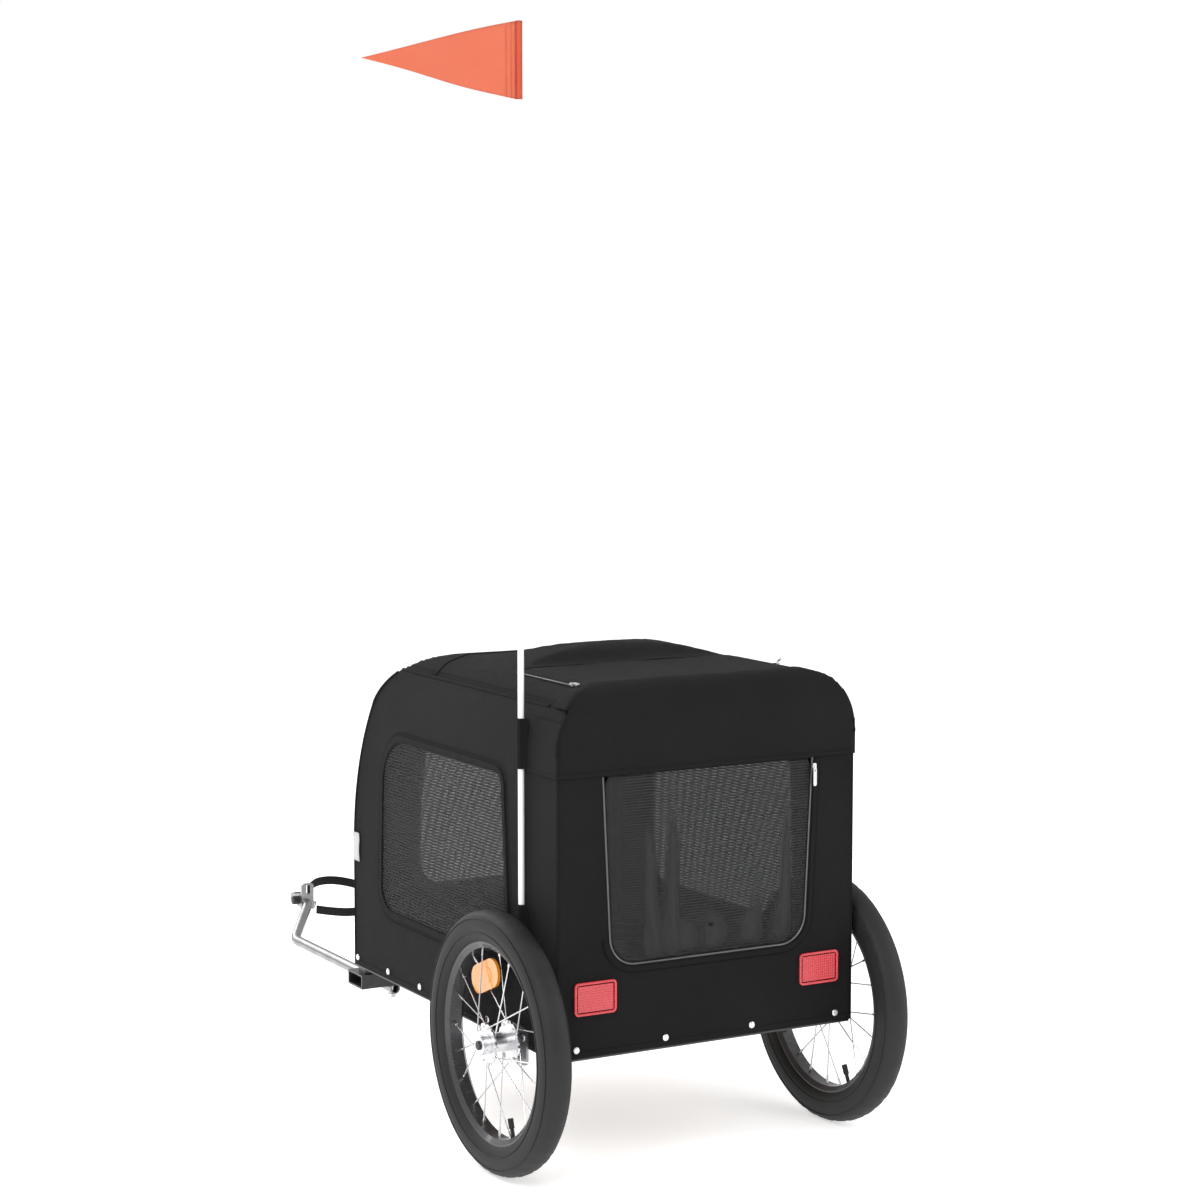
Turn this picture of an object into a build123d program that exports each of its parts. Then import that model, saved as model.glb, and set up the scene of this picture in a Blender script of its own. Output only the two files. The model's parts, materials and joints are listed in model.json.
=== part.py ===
from build123d import *

import os
from math import acos, asin, cos, degrees, radians, sin, tan

# A two-wheeled trailer that a bicycle tows: a low fabric cabin on a tube frame, two spoked
# wheels on push-button axles, a tow arm with a hinged hitch, and a flag on a pole.
#
# Everything is drawn in millimetres with its origin on the ground under the axle, +X to the
# right, +Y forward and +Z up. The last lines move it so that the origin is the hitch bore.

# ---- driving dimensions ----
TRACK = 590.0  # between the planes of the two wheels
TYRE_OD = 400.0
TYRE_WIDTH = 47.0
TYRE_WALL = 3.0
RIM_OD = 317.0
RIM_WIDTH = 30.0
RIM_DEPTH = 16.0
SPOKE_COUNT = 20
SPOKE_R = 1.15
SPOKE_CLEAR = 1.8  # an outer spoke's extra reach past the flange, which it crosses at a slant
HEAD_GAP = 0.9  # between a spoke's head and the flange
NIPPLE_R = 2.0
FLANGE_R = 32.0
FLANGE_SPACING = 38.0
FLANGE_T = 3.0
SPOKE_HOLE_R = 27.0  # radius of the circle of spoke holes
HUB_LENGTH = 48.0
HUB_R = 14.0
AXLE_R = 6.0
BEARING_R = 10.5
BEARING_WIDTH = 5.0
VALVE_LENGTH = 36.0
VALVE_ANGLES = {-1: 250.0, 1: 244.0}  # degrees from +Y, for the left and the right wheel
REFLECTOR_ANGLE = 67.0
REFLECTOR_SIZE = (90.0, 44.0, 4.6)  # along the rim, towards it, and thick

BODY_WIDTH = 516.0
BODY_LENGTH = 715.0
BODY_REAR = -119.0  # the rear wall, behind the axle
BODY_BOTTOM = 193.5
WALL_TOP = 646.0  # where the side wall starts to curve in to the roof
ROOF_Z = 742.0  # the flat of the roof
ROOF_CROWN = 766.0  # over the middle bow
CROWN_Y = 200.0
SHOULDER_R = 109.0  # of the cabin's section, then the tighter arc beside the roof
SHOULDER_TURN = 44.0
EDGE_R = 45.0
EDGE_TURN = 72.5
CORNER_R = 45.0  # rear top corner
HUMP_R = 90.0  # over the middle bow, and the dips on each side of it
HUMP_DIP_R = 60.0
NOSE_R = 417.0  # lower curve of the front
NOSE_Z = 400.0  # where it starts
NOSE_TURN = 35.1
FABRIC_T = 2.0
SEAM_INSET = 20.0  # of the roof seam from the side wall

RAIL = 25.0  # square tube of the base frame
RAIL_WALL = 2.0
RAIL_BOTTOM = 190.0
HOOP_R = 8.0  # round tube of the hoops and bows
HOOP_WALL = 1.5
HOOP_TOP = 672.0
FLOOR_T = 4.0
CUSHION_T = 18.0
SCREW_Z = 207.0
SCREW_PITCH = 119.6
SCREW_R = 2.0
SCREW_HEAD_R = 5.5

DOOR_TOP = 608.5
DOOR_BOTTOM = 328.0
DOOR_HALF_TOP = 180.0
DOOR_HALF_BOTTOM = 166.0
DOOR_CORNER = 40.0
ZIP_WIDTH = 5.0
ZIP_GAP = 0.4
FLAP_HALF = 196.0
FLAP_REAR = -72.0
FLAP_FRONT = 118.0
FLAP_GAP = 0.8
CAP_HEM = 610.0  # lower edge of the hood over the rear top edge

POLE_X = -264.0
POLE_Y = -17.0
POLE_BOTTOM = 337.2
POLE_JOIN = 1010.0
POLE_TOP = 1700.0
POLE_R = 4.75
POLE_TIP_R = 3.25
POCKET_TOP = 410.0
FLAG_HOIST = 113.0
FLAG_LENGTH = 250.0
FLAG_T = 0.8
FLAG_SLEEVE_R = 4.5

ARM_R = 9.0
ARM_WALL = 2.0
ARM_X = -193.0
ARM_Z = 146.0
ARM_PIVOT_Y = 592.0
ARM_BEND_Y = 1010.0
ARM_TIP = (-128.0, 1098.0, 190.0)
ARM_BEND_R = 45.0
PIVOT_R = 4.0
BEAM_Z = (156.0, 180.0)
HITCH_GAP = 18.0  # between the cheeks of the hitch clevis
HITCH_PIN_R = 4.0
HITCH_BORE_R = 5.0
HITCH_REACH = 32.0  # from the hinge pin to the bore
STRAP_WIDTH = 16.0
STRAP_T = 1.6
RUNNING = 0.05  # radial clearance of what turns or slides
SOFT_GAP = 0.3  # between a soft piece and its neighbour

# ---- places worked out from them ----
WHEEL_Z = TYRE_OD / 2
HALF = BODY_WIDTH / 2
BODY_FRONT = BODY_REAR + BODY_LENGTH
RAIL_X = HALF - FABRIC_T - RAIL / 2  # centre of a side rail
RAIL_TOP = RAIL_BOTTOM + RAIL
RAIL_REAR = BODY_REAR + FABRIC_T
RAIL_FRONT = BODY_FRONT - FABRIC_T
FLOOR_TOP = RAIL_TOP + FLOOR_T
TUBE_R = (TYRE_OD - TYRE_WIDTH) / 2  # radius of the tyre's centre circle
SEAM_X = HALF - SEAM_INSET
NOSE_SIN, NOSE_COS = sin(radians(NOSE_TURN)), cos(radians(NOSE_TURN))
NOSE_CENTRE = (BODY_FRONT - NOSE_R, NOSE_Z)
BROW_R = (ROOF_Z - NOSE_Z - NOSE_R * NOSE_SIN) / (1 - NOSE_SIN)
ROOF_FRONT = NOSE_CENTRE[0] + (NOSE_R - BROW_R) * NOSE_COS  # the front panel meets the roof here
BROW_CENTRE = (ROOF_FRONT, ROOF_Z - BROW_R)
HINGE_PIN = (ARM_TIP[0], ARM_TIP[1] + 20.0, ARM_TIP[2] + 4.0)
HITCH = (HINGE_PIN[0], HINGE_PIN[1] + HITCH_REACH, HINGE_PIN[2])

CENTRE_MIN = (Align.CENTER, Align.CENTER, Align.MIN)
parts = {}
os.makedirs("parts", exist_ok=True)


# ---- helpers ----
def block(x, y, z):
    """A box from its pairs of limits along X, Y and Z."""
    size = [abs(b - a) for a, b in (x, y, z)]
    return Pos(*[(a + b) / 2 for a, b in (x, y, z)]) * Box(*size)


def rod(start, end, radius):
    """A round bar between two points."""
    start, end = Vector(*start), Vector(*end)
    place = Plane(origin=start, z_dir=end - start)
    return place * Cylinder(radius, (end - start).length, align=CENTRE_MIN)


def pipe(path, radius, wall):
    """A tube whose centre line is the path."""
    across = Plane(origin=path @ 0, z_dir=path % 0)
    ring = Circle(radius) - Circle(radius - wall) if wall < radius else Circle(radius)
    return sweep(across * ring, path=path)


def ring_about_x(points):
    """A closed outline of (x, radius) points turned about the X axis."""
    outline = make_face(Polyline(*[(x, 0, r) for x, r in points], close=True))
    return revolve(outline, axis=Axis.X)


def around_x(angle, radius, x=0.0):
    """The point at an angle from +Y on a circle about the X axis."""
    return (x, radius * cos(radians(angle)), radius * sin(radians(angle)))


# ---- wheels ----
def make_tyre():
    """A carcass round the tube, open towards the rim, with a bead inside each rim lip."""
    seat, lip = RIM_OD / 2 - 5.8 - TUBE_R, RIM_OD / 2 + 0.5 - TUBE_R
    half = RIM_WIDTH / 2 - 2.2
    carcass = Circle(TYRE_WIDTH / 2) - Circle(TYRE_WIDTH / 2 - TYRE_WALL)
    carcass -= Pos(0, lip - 30) * Rectangle(TYRE_WIDTH * 2, 60.0)
    bead = [(half, seat), (half, lip), (half + 3.7, lip + 1.2), (half + 1.7, lip + 4)]
    bead += [(half - TYRE_WALL, seat + 5), (half - TYRE_WALL, seat)]
    for side in (-1, 1):
        carcass += make_face(Polyline(*[(side * x, y) for x, y in bead], close=True))
    return revolve(Plane.XZ * Pos(0, TUBE_R) * carcass, axis=Axis.X)


def make_inner_tube(valve_angle):
    ring = revolve(Plane.XZ * Pos(0, TUBE_R) * Circle(TYRE_WIDTH / 2 - TYRE_WALL - 1.5), axis=Axis.X)
    outer = TUBE_R - 15.0
    inner = RIM_OD / 2 - RIM_DEPTH - VALVE_LENGTH + 6.0
    stem = rod(around_x(valve_angle, outer), around_x(valve_angle, inner), 3.0)
    cap = rod(around_x(valve_angle, inner + 15.0), around_x(valve_angle, inner), 4.3)
    return ring + stem + cap


def make_rim(valve_angle):
    lip, half = RIM_OD / 2, RIM_WIDTH / 2
    seat, well, bottom = lip - 6.0, lip - 9.5, lip - RIM_DEPTH
    right = [(5, well), (8, seat), (half - 2, seat), (half - 2, lip), (half, lip)]
    right += [(half, lip - 9.0), (half - 5, bottom)]
    outline = [(-x, r) for x, r in right] + [(x, r) for x, r in reversed(right)]
    rim = ring_about_x(outline)
    for k in range(SPOKE_COUNT):
        hub, nipple, seat_at = spoke_line(k)
        rim -= rod(nipple, seat_at, NIPPLE_R + RUNNING)
    hole = rod(around_x(valve_angle, lip - 30), around_x(valve_angle, lip), 3.0 + RUNNING)
    return rim - hole


def spoke_line(k):
    """Where spoke k leaves the hub, where its nipple starts, and where it seats in the rim."""
    flange = 1 if k % 2 else -1
    pair = k // 2
    step = 720.0 / SPOKE_COUNT
    lean = step if pair % 2 else -step
    side = 1 if pair % 2 else -1
    hub_angle = pair * step + (step / 2 if k % 2 else 0.0)
    clear = SPOKE_CLEAR if side > 0 else 0.0
    offset = FLANGE_SPACING / 2 + side * (FLANGE_T / 2 + SPOKE_R) + clear
    hub = Vector(*around_x(hub_angle, SPOKE_HOLE_R, flange * offset))
    rim = Vector(*around_x(hub_angle + lean, RIM_OD / 2 - RIM_DEPTH, flange * 2.0))
    out = (rim - hub).normalized()
    return hub, rim - out * 12.0, rim + out * 4.5


def make_spokes():
    spokes = []
    for k in range(SPOKE_COUNT):
        hub, nipple, seat = spoke_line(k)
        elbow = Pos(*hub) * Sphere(SPOKE_R)
        inward = FLANGE_SPACING / 2 * (1 if hub.X > 0 else -1) - hub.X
        head = hub + Vector(inward * (1 + (FLANGE_T / 2 + HEAD_GAP) / abs(inward)), 0, 0)
        through = rod(hub, head, SPOKE_R) + rod(head, head + Vector(inward * 0.4, 0, 0), 2.0)
        blade = rod(hub, nipple, SPOKE_R) + rod(nipple, seat, NIPPLE_R)
        spokes.append(elbow + through + blade)
    return Compound(children=[s.solid() for s in spokes])


def make_hub():
    half, mid = HUB_LENGTH / 2, FLANGE_SPACING / 2
    hub = Rot(0, 90, 0) * Cylinder(HUB_R, HUB_LENGTH)
    scallop_r = 4.5
    for flange in (-mid, mid):
        disc = Pos(flange, 0, 0) * Rot(0, 90, 0) * Cylinder(FLANGE_R, FLANGE_T)
        for pair in range(SPOKE_COUNT // 2):
            turn = pair * 720.0 / SPOKE_COUNT + (360.0 / SPOKE_COUNT if flange > 0 else 0.0)
            edge = around_x(turn + 360.0 / SPOKE_COUNT, FLANGE_R + 2.0, flange)
            hole = around_x(turn, SPOKE_HOLE_R, flange)
            disc -= Pos(*edge) * Rot(0, 90, 0) * Cylinder(scallop_r, FLANGE_T * 2)
            disc -= Pos(*hole) * Rot(0, 90, 0) * Cylinder(SPOKE_R + RUNNING, FLANGE_T * 2)
        hub += disc
    hub -= Rot(0, 90, 0) * Cylinder(BEARING_R - 2.0, HUB_LENGTH * 2)
    for end in (-1, 1):
        seat = Pos(end * (half - BEARING_WIDTH / 2), 0, 0) * Rot(0, 90, 0)
        hub -= seat * Cylinder(BEARING_R, BEARING_WIDTH)
    return hub


def make_bearings():
    ring = Cylinder(BEARING_R, BEARING_WIDTH) - Cylinder(AXLE_R + RUNNING, BEARING_WIDTH)
    ring = chamfer(ring.edges().filter_by(GeomType.CIRCLE), 0.4)
    at = HUB_LENGTH / 2 - BEARING_WIDTH / 2
    return Compound(children=[(Pos(x, 0, 0) * Rot(0, 90, 0) * ring).solid() for x in (-at, at)])


def make_wheel_reflector():
    long, wide, thick = REFLECTOR_SIZE
    plate = extrude(SlotOverall(long, wide), thick / 2, both=True)
    ridge = extrude(SlotOverall(long * 0.5, wide * 0.55), thick / 2 + 0.8, both=True)
    place = Plane(
        origin=around_x(REFLECTOR_ANGLE, 101.0),
        x_dir=around_x(REFLECTOR_ANGLE + 90.0, 1.0),
        z_dir=(1, 0, 0),
    )
    return place * (plate + ridge)


def make_axle(side):
    """A push-button axle: it plugs through the wheel into the frame."""
    end = TRACK / 2 + HUB_LENGTH / 2
    tip = RAIL_X - RAIL / 2 - 5.0
    cap = rod((side * (end + 0.5), 0, 0), (side * (end + 8.0), 0, 0), 15.0)
    cap = fillet(cap.edges().filter_by(GeomType.CIRCLE).sort_by(Axis.X)[-1 if side > 0 else 0], 2.0)
    axle = rod((side * tip, 0, 0), (side * (end + 1.0), 0, 0), AXLE_R) + cap
    axle -= rod((side * (end + 0.8), 0, 0), (side * (end + 9.0), 0, 0), 7.0 + RUNNING)
    for z in (-AXLE_R + 0.3, AXLE_R - 0.3):
        axle += Pos(side * (tip + 3.0), 0, z) * Sphere(1.5)
    return Pos(0, 0, WHEEL_Z) * axle


def make_axle_button(side):
    end = TRACK / 2 + HUB_LENGTH / 2
    button = rod((side * (end + 4.0), 0, 0), (side * (end + 11.0), 0, 0), 7.0)
    outer = button.edges().filter_by(GeomType.CIRCLE).sort_by(Axis.X)[-1 if side > 0 else 0]
    return Pos(0, 0, WHEEL_Z) * fillet(outer, 1.5)


def make_axle_bracket(side):
    """A plate on the side rail that carries the axle, with a spacer towards the hub."""
    plate = Rectangle(56.0, 58.0)
    plate = fillet(plate.vertices(), 10.0)
    inner = HALF + SOFT_GAP
    face = Plane(origin=(side * inner, 0, 194.0), x_dir=(0, 1, 0), z_dir=(side, 0, 0))
    spacer = (side * (inner + 4.0), 0, WHEEL_Z), (side * (TRACK / 2 - HUB_LENGTH / 2 - 0.4), 0, WHEEL_Z)
    bracket = face * extrude(plate, 4.0) + rod(*spacer, 9.0)
    bracket -= rod((side * 200, 0, WHEEL_Z), (side * 300, 0, WHEEL_Z), AXLE_R + RUNNING)
    bracket -= rod((side * 200, 0, 176.0), (side * 300, 0, 176.0), 4.2)
    return bracket


for side, word in ((-1, "left"), (1, "right")):
    centre = Pos(side * TRACK / 2, 0, WHEEL_Z)
    parts[f"tyre_{word}"] = centre * make_tyre()
    parts[f"inner_tube_{word}"] = centre * make_inner_tube(VALVE_ANGLES[side])
    parts[f"rim_{word}"] = centre * make_rim(VALVE_ANGLES[side])
    parts[f"spokes_{word}"] = centre * make_spokes()
    parts[f"hub_{word}"] = centre * make_hub()
    parts[f"wheel_bearings_{word}"] = centre * make_bearings()
    parts[f"wheel_reflector_{word}"] = centre * make_wheel_reflector()
    parts[f"axle_{word}"] = make_axle(side)
    parts[f"axle_button_{word}"] = make_axle_button(side)

# ---- the shape of the cabin ----
def crown_arc():
    """Centre height and radius of the low arc over the roof."""
    first, second = radians(SHOULDER_TURN), radians(EDGE_TURN)
    x = HALF - SHOULDER_R + (SHOULDER_R - EDGE_R) * cos(first)
    z = WALL_TOP + (SHOULDER_R - EDGE_R) * sin(first)
    radius = x / cos(second) + EDGE_R
    return z - (radius - EDGE_R) * sin(second), radius


def cabin_section(by=0.0):
    """The cabin from behind, grown by a distance: upright walls, round shoulders, a low crown."""
    low = BODY_BOTTOM - 30.0
    first, second = SHOULDER_TURN, EDGE_TURN
    centre = Vector(HALF - SHOULDER_R, WALL_TOP)
    shoulder = CenterArc(centre, SHOULDER_R + by, 0, first)
    centre += Vector(cos(radians(first)), sin(radians(first))) * (SHOULDER_R - EDGE_R)
    edge = CenterArc(centre, EDGE_R + by, first, second - first)
    crown_z, crown_r = crown_arc()
    crown = CenterArc((0, crown_z), crown_r + by, second, 90 - second)
    wall = Line((HALF + by, low), shoulder @ 0)
    half = Curve() + [wall, shoulder, edge, crown]
    return make_face(half + mirror(half, about=Plane.YZ) + Line(wall @ 0, (-HALF - by, low)))


def cabin_profile(by=0.0):
    """The cabin from its right side, grown: upright rear, flat roof with a hump, curved front."""
    low = BODY_BOTTOM - 30.0
    corner_centre = (BODY_REAR + CORNER_R, ROOF_Z - CORNER_R)
    corner = CenterArc(corner_centre, CORNER_R + by, 180, -90)
    rise = HUMP_DIP_R + HUMP_R - (ROOF_CROWN - ROOF_Z)
    lean = degrees(acos(rise / (HUMP_DIP_R + HUMP_R)))
    reach = (HUMP_DIP_R + HUMP_R) * sin(radians(lean))
    dips = [(CROWN_Y + end * reach, ROOF_Z + HUMP_DIP_R) for end in (-1, 1)]
    dip_in = CenterArc(dips[0], HUMP_DIP_R - by, -90, lean)
    hump = CenterArc((CROWN_Y, ROOF_CROWN - HUMP_R), HUMP_R + by, 90 + lean, -2 * lean)
    dip_out = CenterArc(dips[1], HUMP_DIP_R - by, -90 - lean, lean)
    brow = CenterArc(BROW_CENTRE, BROW_R + by, 90, NOSE_TURN - 90)
    nose = CenterArc(NOSE_CENTRE, NOSE_R + by, NOSE_TURN, -NOSE_TURN)
    rear = Line((BODY_REAR - by, low), corner @ 0)
    front = Line(nose @ 1, (BODY_FRONT + by, low))
    lines = [rear, Line(corner @ 1, dip_in @ 0), Line(dip_out @ 1, brow @ 0), front]
    lines += [Line(front @ 1, rear @ 0)]
    return make_face(Curve() + lines + [corner, dip_in, hump, dip_out, brow, nose])


SIDEWAYS = Plane(origin=(0, 0, 0), x_dir=(0, 1, 0), z_dir=(1, 0, 0))
LENGTHWAYS = Plane(origin=(0, 0, 0), x_dir=(1, 0, 0), z_dir=(0, -1, 0))
ABOVE_BOTTOM = block((-900, 900), (-900, 900), (BODY_BOTTOM, 900))


def profile_prism(by=0.0):
    return SIDEWAYS * extrude(cabin_profile(by), 400.0, both=True)


def cabin(by=0.0):
    """The cabin's outer volume, grown by a distance."""
    section = LENGTHWAYS * extrude(cabin_section(by), 1000.0, both=True)
    return section & profile_prism(by)


def sheet(inner, outer):
    """A layer over the cabin between two distances from its outer face."""
    return (cabin(outer) - cabin(inner)) & ABOVE_BOTTOM


def rounded(points, radii):
    """A polygon with each corner rounded to its own radius."""
    face = make_face(Polyline(*points, close=True))
    for point, radius in zip(points, radii):
        if radius:
            corner = face.vertices().sort_by_distance(Vector(*point, 0))[0]
            face = fillet(corner, radius)
    return face


WINDOW = rounded([(54, 600), (480, 600), (494, 305), (34, 305)], [25, 85, 45, 45])
FRONT_WINDOW = rounded([(-141, 600), (141, 600), (141, 310), (-141, 310)], [60, 60, 45, 45])


def door_outline(by=0.0):
    top, low = (DOOR_HALF_TOP + by, DOOR_TOP), (DOOR_HALF_BOTTOM + by, DOOR_BOTTOM - by)
    points = [(-top[0], top[1]), top, low, (-low[0], low[1])]
    return rounded(points, [0, 0, DOOR_CORNER + by, DOOR_CORNER + by])


def door_prism(by, y):
    return Plane(origin=(0, y[1], 0), x_dir=(1, 0, 0), z_dir=(0, -1, 0)) * extrude(
        door_outline(by), y[1] - y[0]
    )


# ---- base frame and hoops ----
def square_tube(x, y, z, along):
    """A hollow rail with open ends along one axis: 0 for X, 1 for Y."""
    inner = [(a + RAIL_WALL, b - RAIL_WALL) for a, b in (x, y, z)]
    inner[along] = ((x, y)[along][0] - 1, (x, y)[along][1] + 1)
    return block(x, y, z) - block(*inner)


SIDE_SCREWS = [BODY_FRONT - 12.0 - k * SCREW_PITCH for k in range(5)]
END_SCREWS = [(k - 1.5) * 152.0 for k in range(4)]
BRACKET_SCREWS = [-19.0, 19.0]


def screw_places():
    """(head point, direction into the frame) of every cover screw and bracket bolt."""
    places = [((x, BODY_REAR, SCREW_Z), (0, 1, 0)) for x in END_SCREWS]
    places += [((x, BODY_FRONT, SCREW_Z), (0, -1, 0)) for x in END_SCREWS]
    for side in (-1, 1):
        places += [((side * HALF, y, SCREW_Z), (-side, 0, 0)) for y in SIDE_SCREWS]
        plate = side * (HALF + SOFT_GAP + 4.0)
        places += [((plate, y, SCREW_Z), (-side, 0, 0)) for y in BRACKET_SCREWS]
    return [(Vector(*head), Vector(*into)) for head, into in places]


SHANK = FABRIC_T + RAIL_WALL + SOFT_GAP + 8.0
shanks = [rod(head, head + into * SHANK, SCREW_R) for head, into in screw_places()]
axle_hole = rod((-400, 0, WHEEL_Z), (400, 0, WHEEL_Z), AXLE_R + 2 * RUNNING)


def make_screws():
    screws = []
    for head, into in screw_places():
        dome = Plane(origin=head, z_dir=-into) * Cylinder(SCREW_HEAD_R, 2.6, align=CENTRE_MIN)
        rim = dome.edges().filter_by(GeomType.CIRCLE).sort_by_distance(head - into * 5.0)[0]
        dome = fillet(rim, 2.0)
        screws.append((dome + rod(head, head + into * SHANK, SCREW_R)).solid())
    return Compound(children=screws)


def make_side_rail(side):
    x = sorted((side * (RAIL_X - RAIL / 2), side * (RAIL_X + RAIL / 2)))
    rail = square_tube(tuple(x), (RAIL_REAR, RAIL_FRONT), (RAIL_BOTTOM, RAIL_TOP), 1)
    return rail - axle_hole - shanks


def make_cross_rail(y):
    reach = RAIL_X - RAIL / 2
    return square_tube((-reach, reach), y, (RAIL_BOTTOM, RAIL_TOP), 0) - shanks


def hoop_path(side):
    x = side * RAIL_X
    rear = RAIL_REAR + HOOP_R + 4.5
    front = RAIL_FRONT - HOOP_R - 1.5
    shape = [(rear, RAIL_TOP), (rear, HOOP_TOP), (BODY_FRONT - 168, HOOP_TOP)]
    shape += [(BODY_FRONT - 59, 590.0), (front, 450.0), (front, RAIL_TOP)]
    return FilletPolyline(*[(x, y, z) for y, z in shape], radius=[50.0, 140.0, 140.0, 180.0])


def make_bow(y, shoulder, crown):
    half = [(RAIL_X, HOOP_TOP), (RAIL_X - 38, shoulder)]
    shape = [(-x, z) for x, z in half] + [(0.0, crown)] + half[::-1]
    path = FilletPolyline(*[(x, y, z) for x, z in shape], radius=[28.0, 500.0, 28.0])
    bow = pipe(path, HOOP_R, HOOP_WALL)
    return (bow - hoop_cores).solids().sort_by(SortBy.VOLUME)[-1]


hoop_cores = [pipe(hoop_path(side), HOOP_R, HOOP_R) for side in (-1, 1)]
for side, word in ((-1, "left"), (1, "right")):
    parts[f"base_side_rail_{word}"] = make_side_rail(side)
    parts[f"side_hoop_{word}"] = pipe(hoop_path(side), HOOP_R, HOOP_WALL)
parts["base_cross_rail_rear"] = make_cross_rail((RAIL_REAR, RAIL_REAR + RAIL))
parts["base_cross_rail_middle"] = make_cross_rail((CROWN_Y, CROWN_Y + RAIL))
parts["base_cross_rail_front"] = make_cross_rail((RAIL_FRONT - RAIL, RAIL_FRONT))
parts["roof_bow_rear"] = make_bow(BODY_REAR + 75.0, 719.0, ROOF_Z - 12.0)
parts["roof_bow_middle"] = make_bow(CROWN_Y, 723.0, ROOF_CROWN - 12.0)
parts["roof_bow_front"] = make_bow(BODY_FRONT - 196.0, 700.0, 704.0)
parts["cover_screws"] = make_screws()
brackets = [(make_axle_bracket(side) - shanks).solid() for side in (-1, 1)]
parts["axle_brackets"] = Compound(children=brackets)

# ---- floor ----
floor_half = RAIL_X - HOOP_R - 3.0
parts["floor_board"] = block(
    (-floor_half, floor_half), (RAIL_REAR + 3, RAIL_FRONT - 3), (RAIL_TOP, FLOOR_TOP)
)
cushion = block(
    (-floor_half + 6, floor_half - 6),
    (RAIL_REAR + 12, RAIL_FRONT - 14),
    (FLOOR_TOP + SOFT_GAP, FLOOR_TOP + SOFT_GAP + CUSHION_T),
)
parts["floor_cushion"] = fillet(cushion.edges().filter_by(Axis.Z), 25.0)

# ---- cover panels ----
shell = sheet(-FABRIC_T, 0.0)
within_profile = profile_prism(-FABRIC_T)
wrap = shell
meshes = []
for side, word in ((-1, "left"), (1, "right")):
    beyond = block((side * SEAM_X, side * 400), (-300, 900), (0, 900))
    panel = shell & within_profile & beyond
    wrap = wrap - (within_profile & beyond)
    window = SIDEWAYS * extrude(WINDOW, 400.0, both=True)
    meshes += (panel & window).solids()
    bracket_hole = rod((side * 200, 0, WHEEL_Z), (side * 300, 0, WHEEL_Z), 12.0)
    parts[f"side_panel_{word}"] = panel - window - bracket_hole - shanks
parts["side_windows"] = Compound(children=meshes)

front_hole = LENGTHWAYS * extrude(FRONT_WINDOW, -900.0)
front = wrap & block((-400, 400), (ROOF_FRONT, 900), (0, 900))
parts["front_panel"] = front - front_hole - shanks
parts["front_window"] = front & front_hole

rear = wrap & block((-400, 400), (-400, FLAP_REAR - FLAP_GAP), (0, 900))
door_y = (BODY_REAR - 5.0, BODY_REAR + 5.0)
parts["rear_panel"] = rear - door_prism(ZIP_GAP + ZIP_WIDTH, door_y) - shanks
parts["rear_door"] = door_prism(0.0, (BODY_REAR, BODY_REAR + FABRIC_T))
teeth = (BODY_REAR - 0.8, BODY_REAR + FABRIC_T)
parts["rear_zip_track"] = door_prism(ZIP_GAP + ZIP_WIDTH, teeth) - door_prism(ZIP_GAP, door_y)

roof = wrap & block((-400, 400), (FLAP_REAR - FLAP_GAP, ROOF_FRONT), (600, 900))
flap_zone = block((-FLAP_HALF, FLAP_HALF), (FLAP_REAR, FLAP_FRONT), (600, 900))
flap_hole = block(
    (-FLAP_HALF - FLAP_GAP, FLAP_HALF + FLAP_GAP),
    (FLAP_REAR - FLAP_GAP, FLAP_FRONT + FLAP_GAP),
    (600, 900),
)
parts["roof_panel"] = roof - flap_hole
parts["roof_flap"] = shell & flap_zone

# The hood over the rear top edge, with a loop that holds the flag pole.
over = sheet(SOFT_GAP, SOFT_GAP + FABRIC_T)
cap_zone = block((-400, 400), (-400, FLAP_REAR - 4), (CAP_HEM, 900))
for side in (-1, 1):
    cap_zone += block((side * (HALF - 10), side * 400), (-400, POLE_Y - 11), (CAP_HEM, 690))
cap = over & cap_zone
loop = rod((POLE_X, POLE_Y, CAP_HEM + 3), (POLE_X, POLE_Y, 688), POLE_R + 2.5)
loop += block((-HALF - SOFT_GAP, POLE_X), (POLE_Y - 12, POLE_Y + 8), (CAP_HEM + 3, 688))
loop -= rod((POLE_X, POLE_Y, 600), (POLE_X, POLE_Y, 700), POLE_R + SOFT_GAP)
loop &= block((-300, -HALF - SOFT_GAP), (-100, 100), (600, 700))
parts["rear_cap"] = Compound(children=(cap + loop).solids())

# ---- zips on the roof, and every slider ----
zip_x = FLAP_HALF + FLAP_GAP + 0.3
roof_teeth = sheet(0.0, 1.0)
tracks = []
for side in (-1, 1):
    strip = block((side * zip_x, side * (zip_x + ZIP_WIDTH)), (FLAP_REAR, FLAP_FRONT), (700, 900))
    tracks += (roof_teeth & strip).solids()
parts["roof_zip_tracks"] = Compound(children=tracks)


def make_slider(pull_length):
    """A zip slider on its back in XY, travelling along Y, with its pull hanging towards -Y."""
    body = fillet(Box(7.0, 12.0, 3.0, align=CENTRE_MIN).edges().filter_by(Axis.Z), 2.5)
    bail = Pos(0, 0, 3.0) * Box(2.0, 7.0, 1.6, align=CENTRE_MIN)
    tab = extrude(SlotOverall(pull_length, 6.0) - Pos(pull_length / 2 - 4, 0) * Circle(1.6), 1.4)
    tab = Pos(0, -pull_length / 2 - 1.0, 3.4) * Rot(0, 0, 90) * tab
    return body + bail + tab


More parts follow.
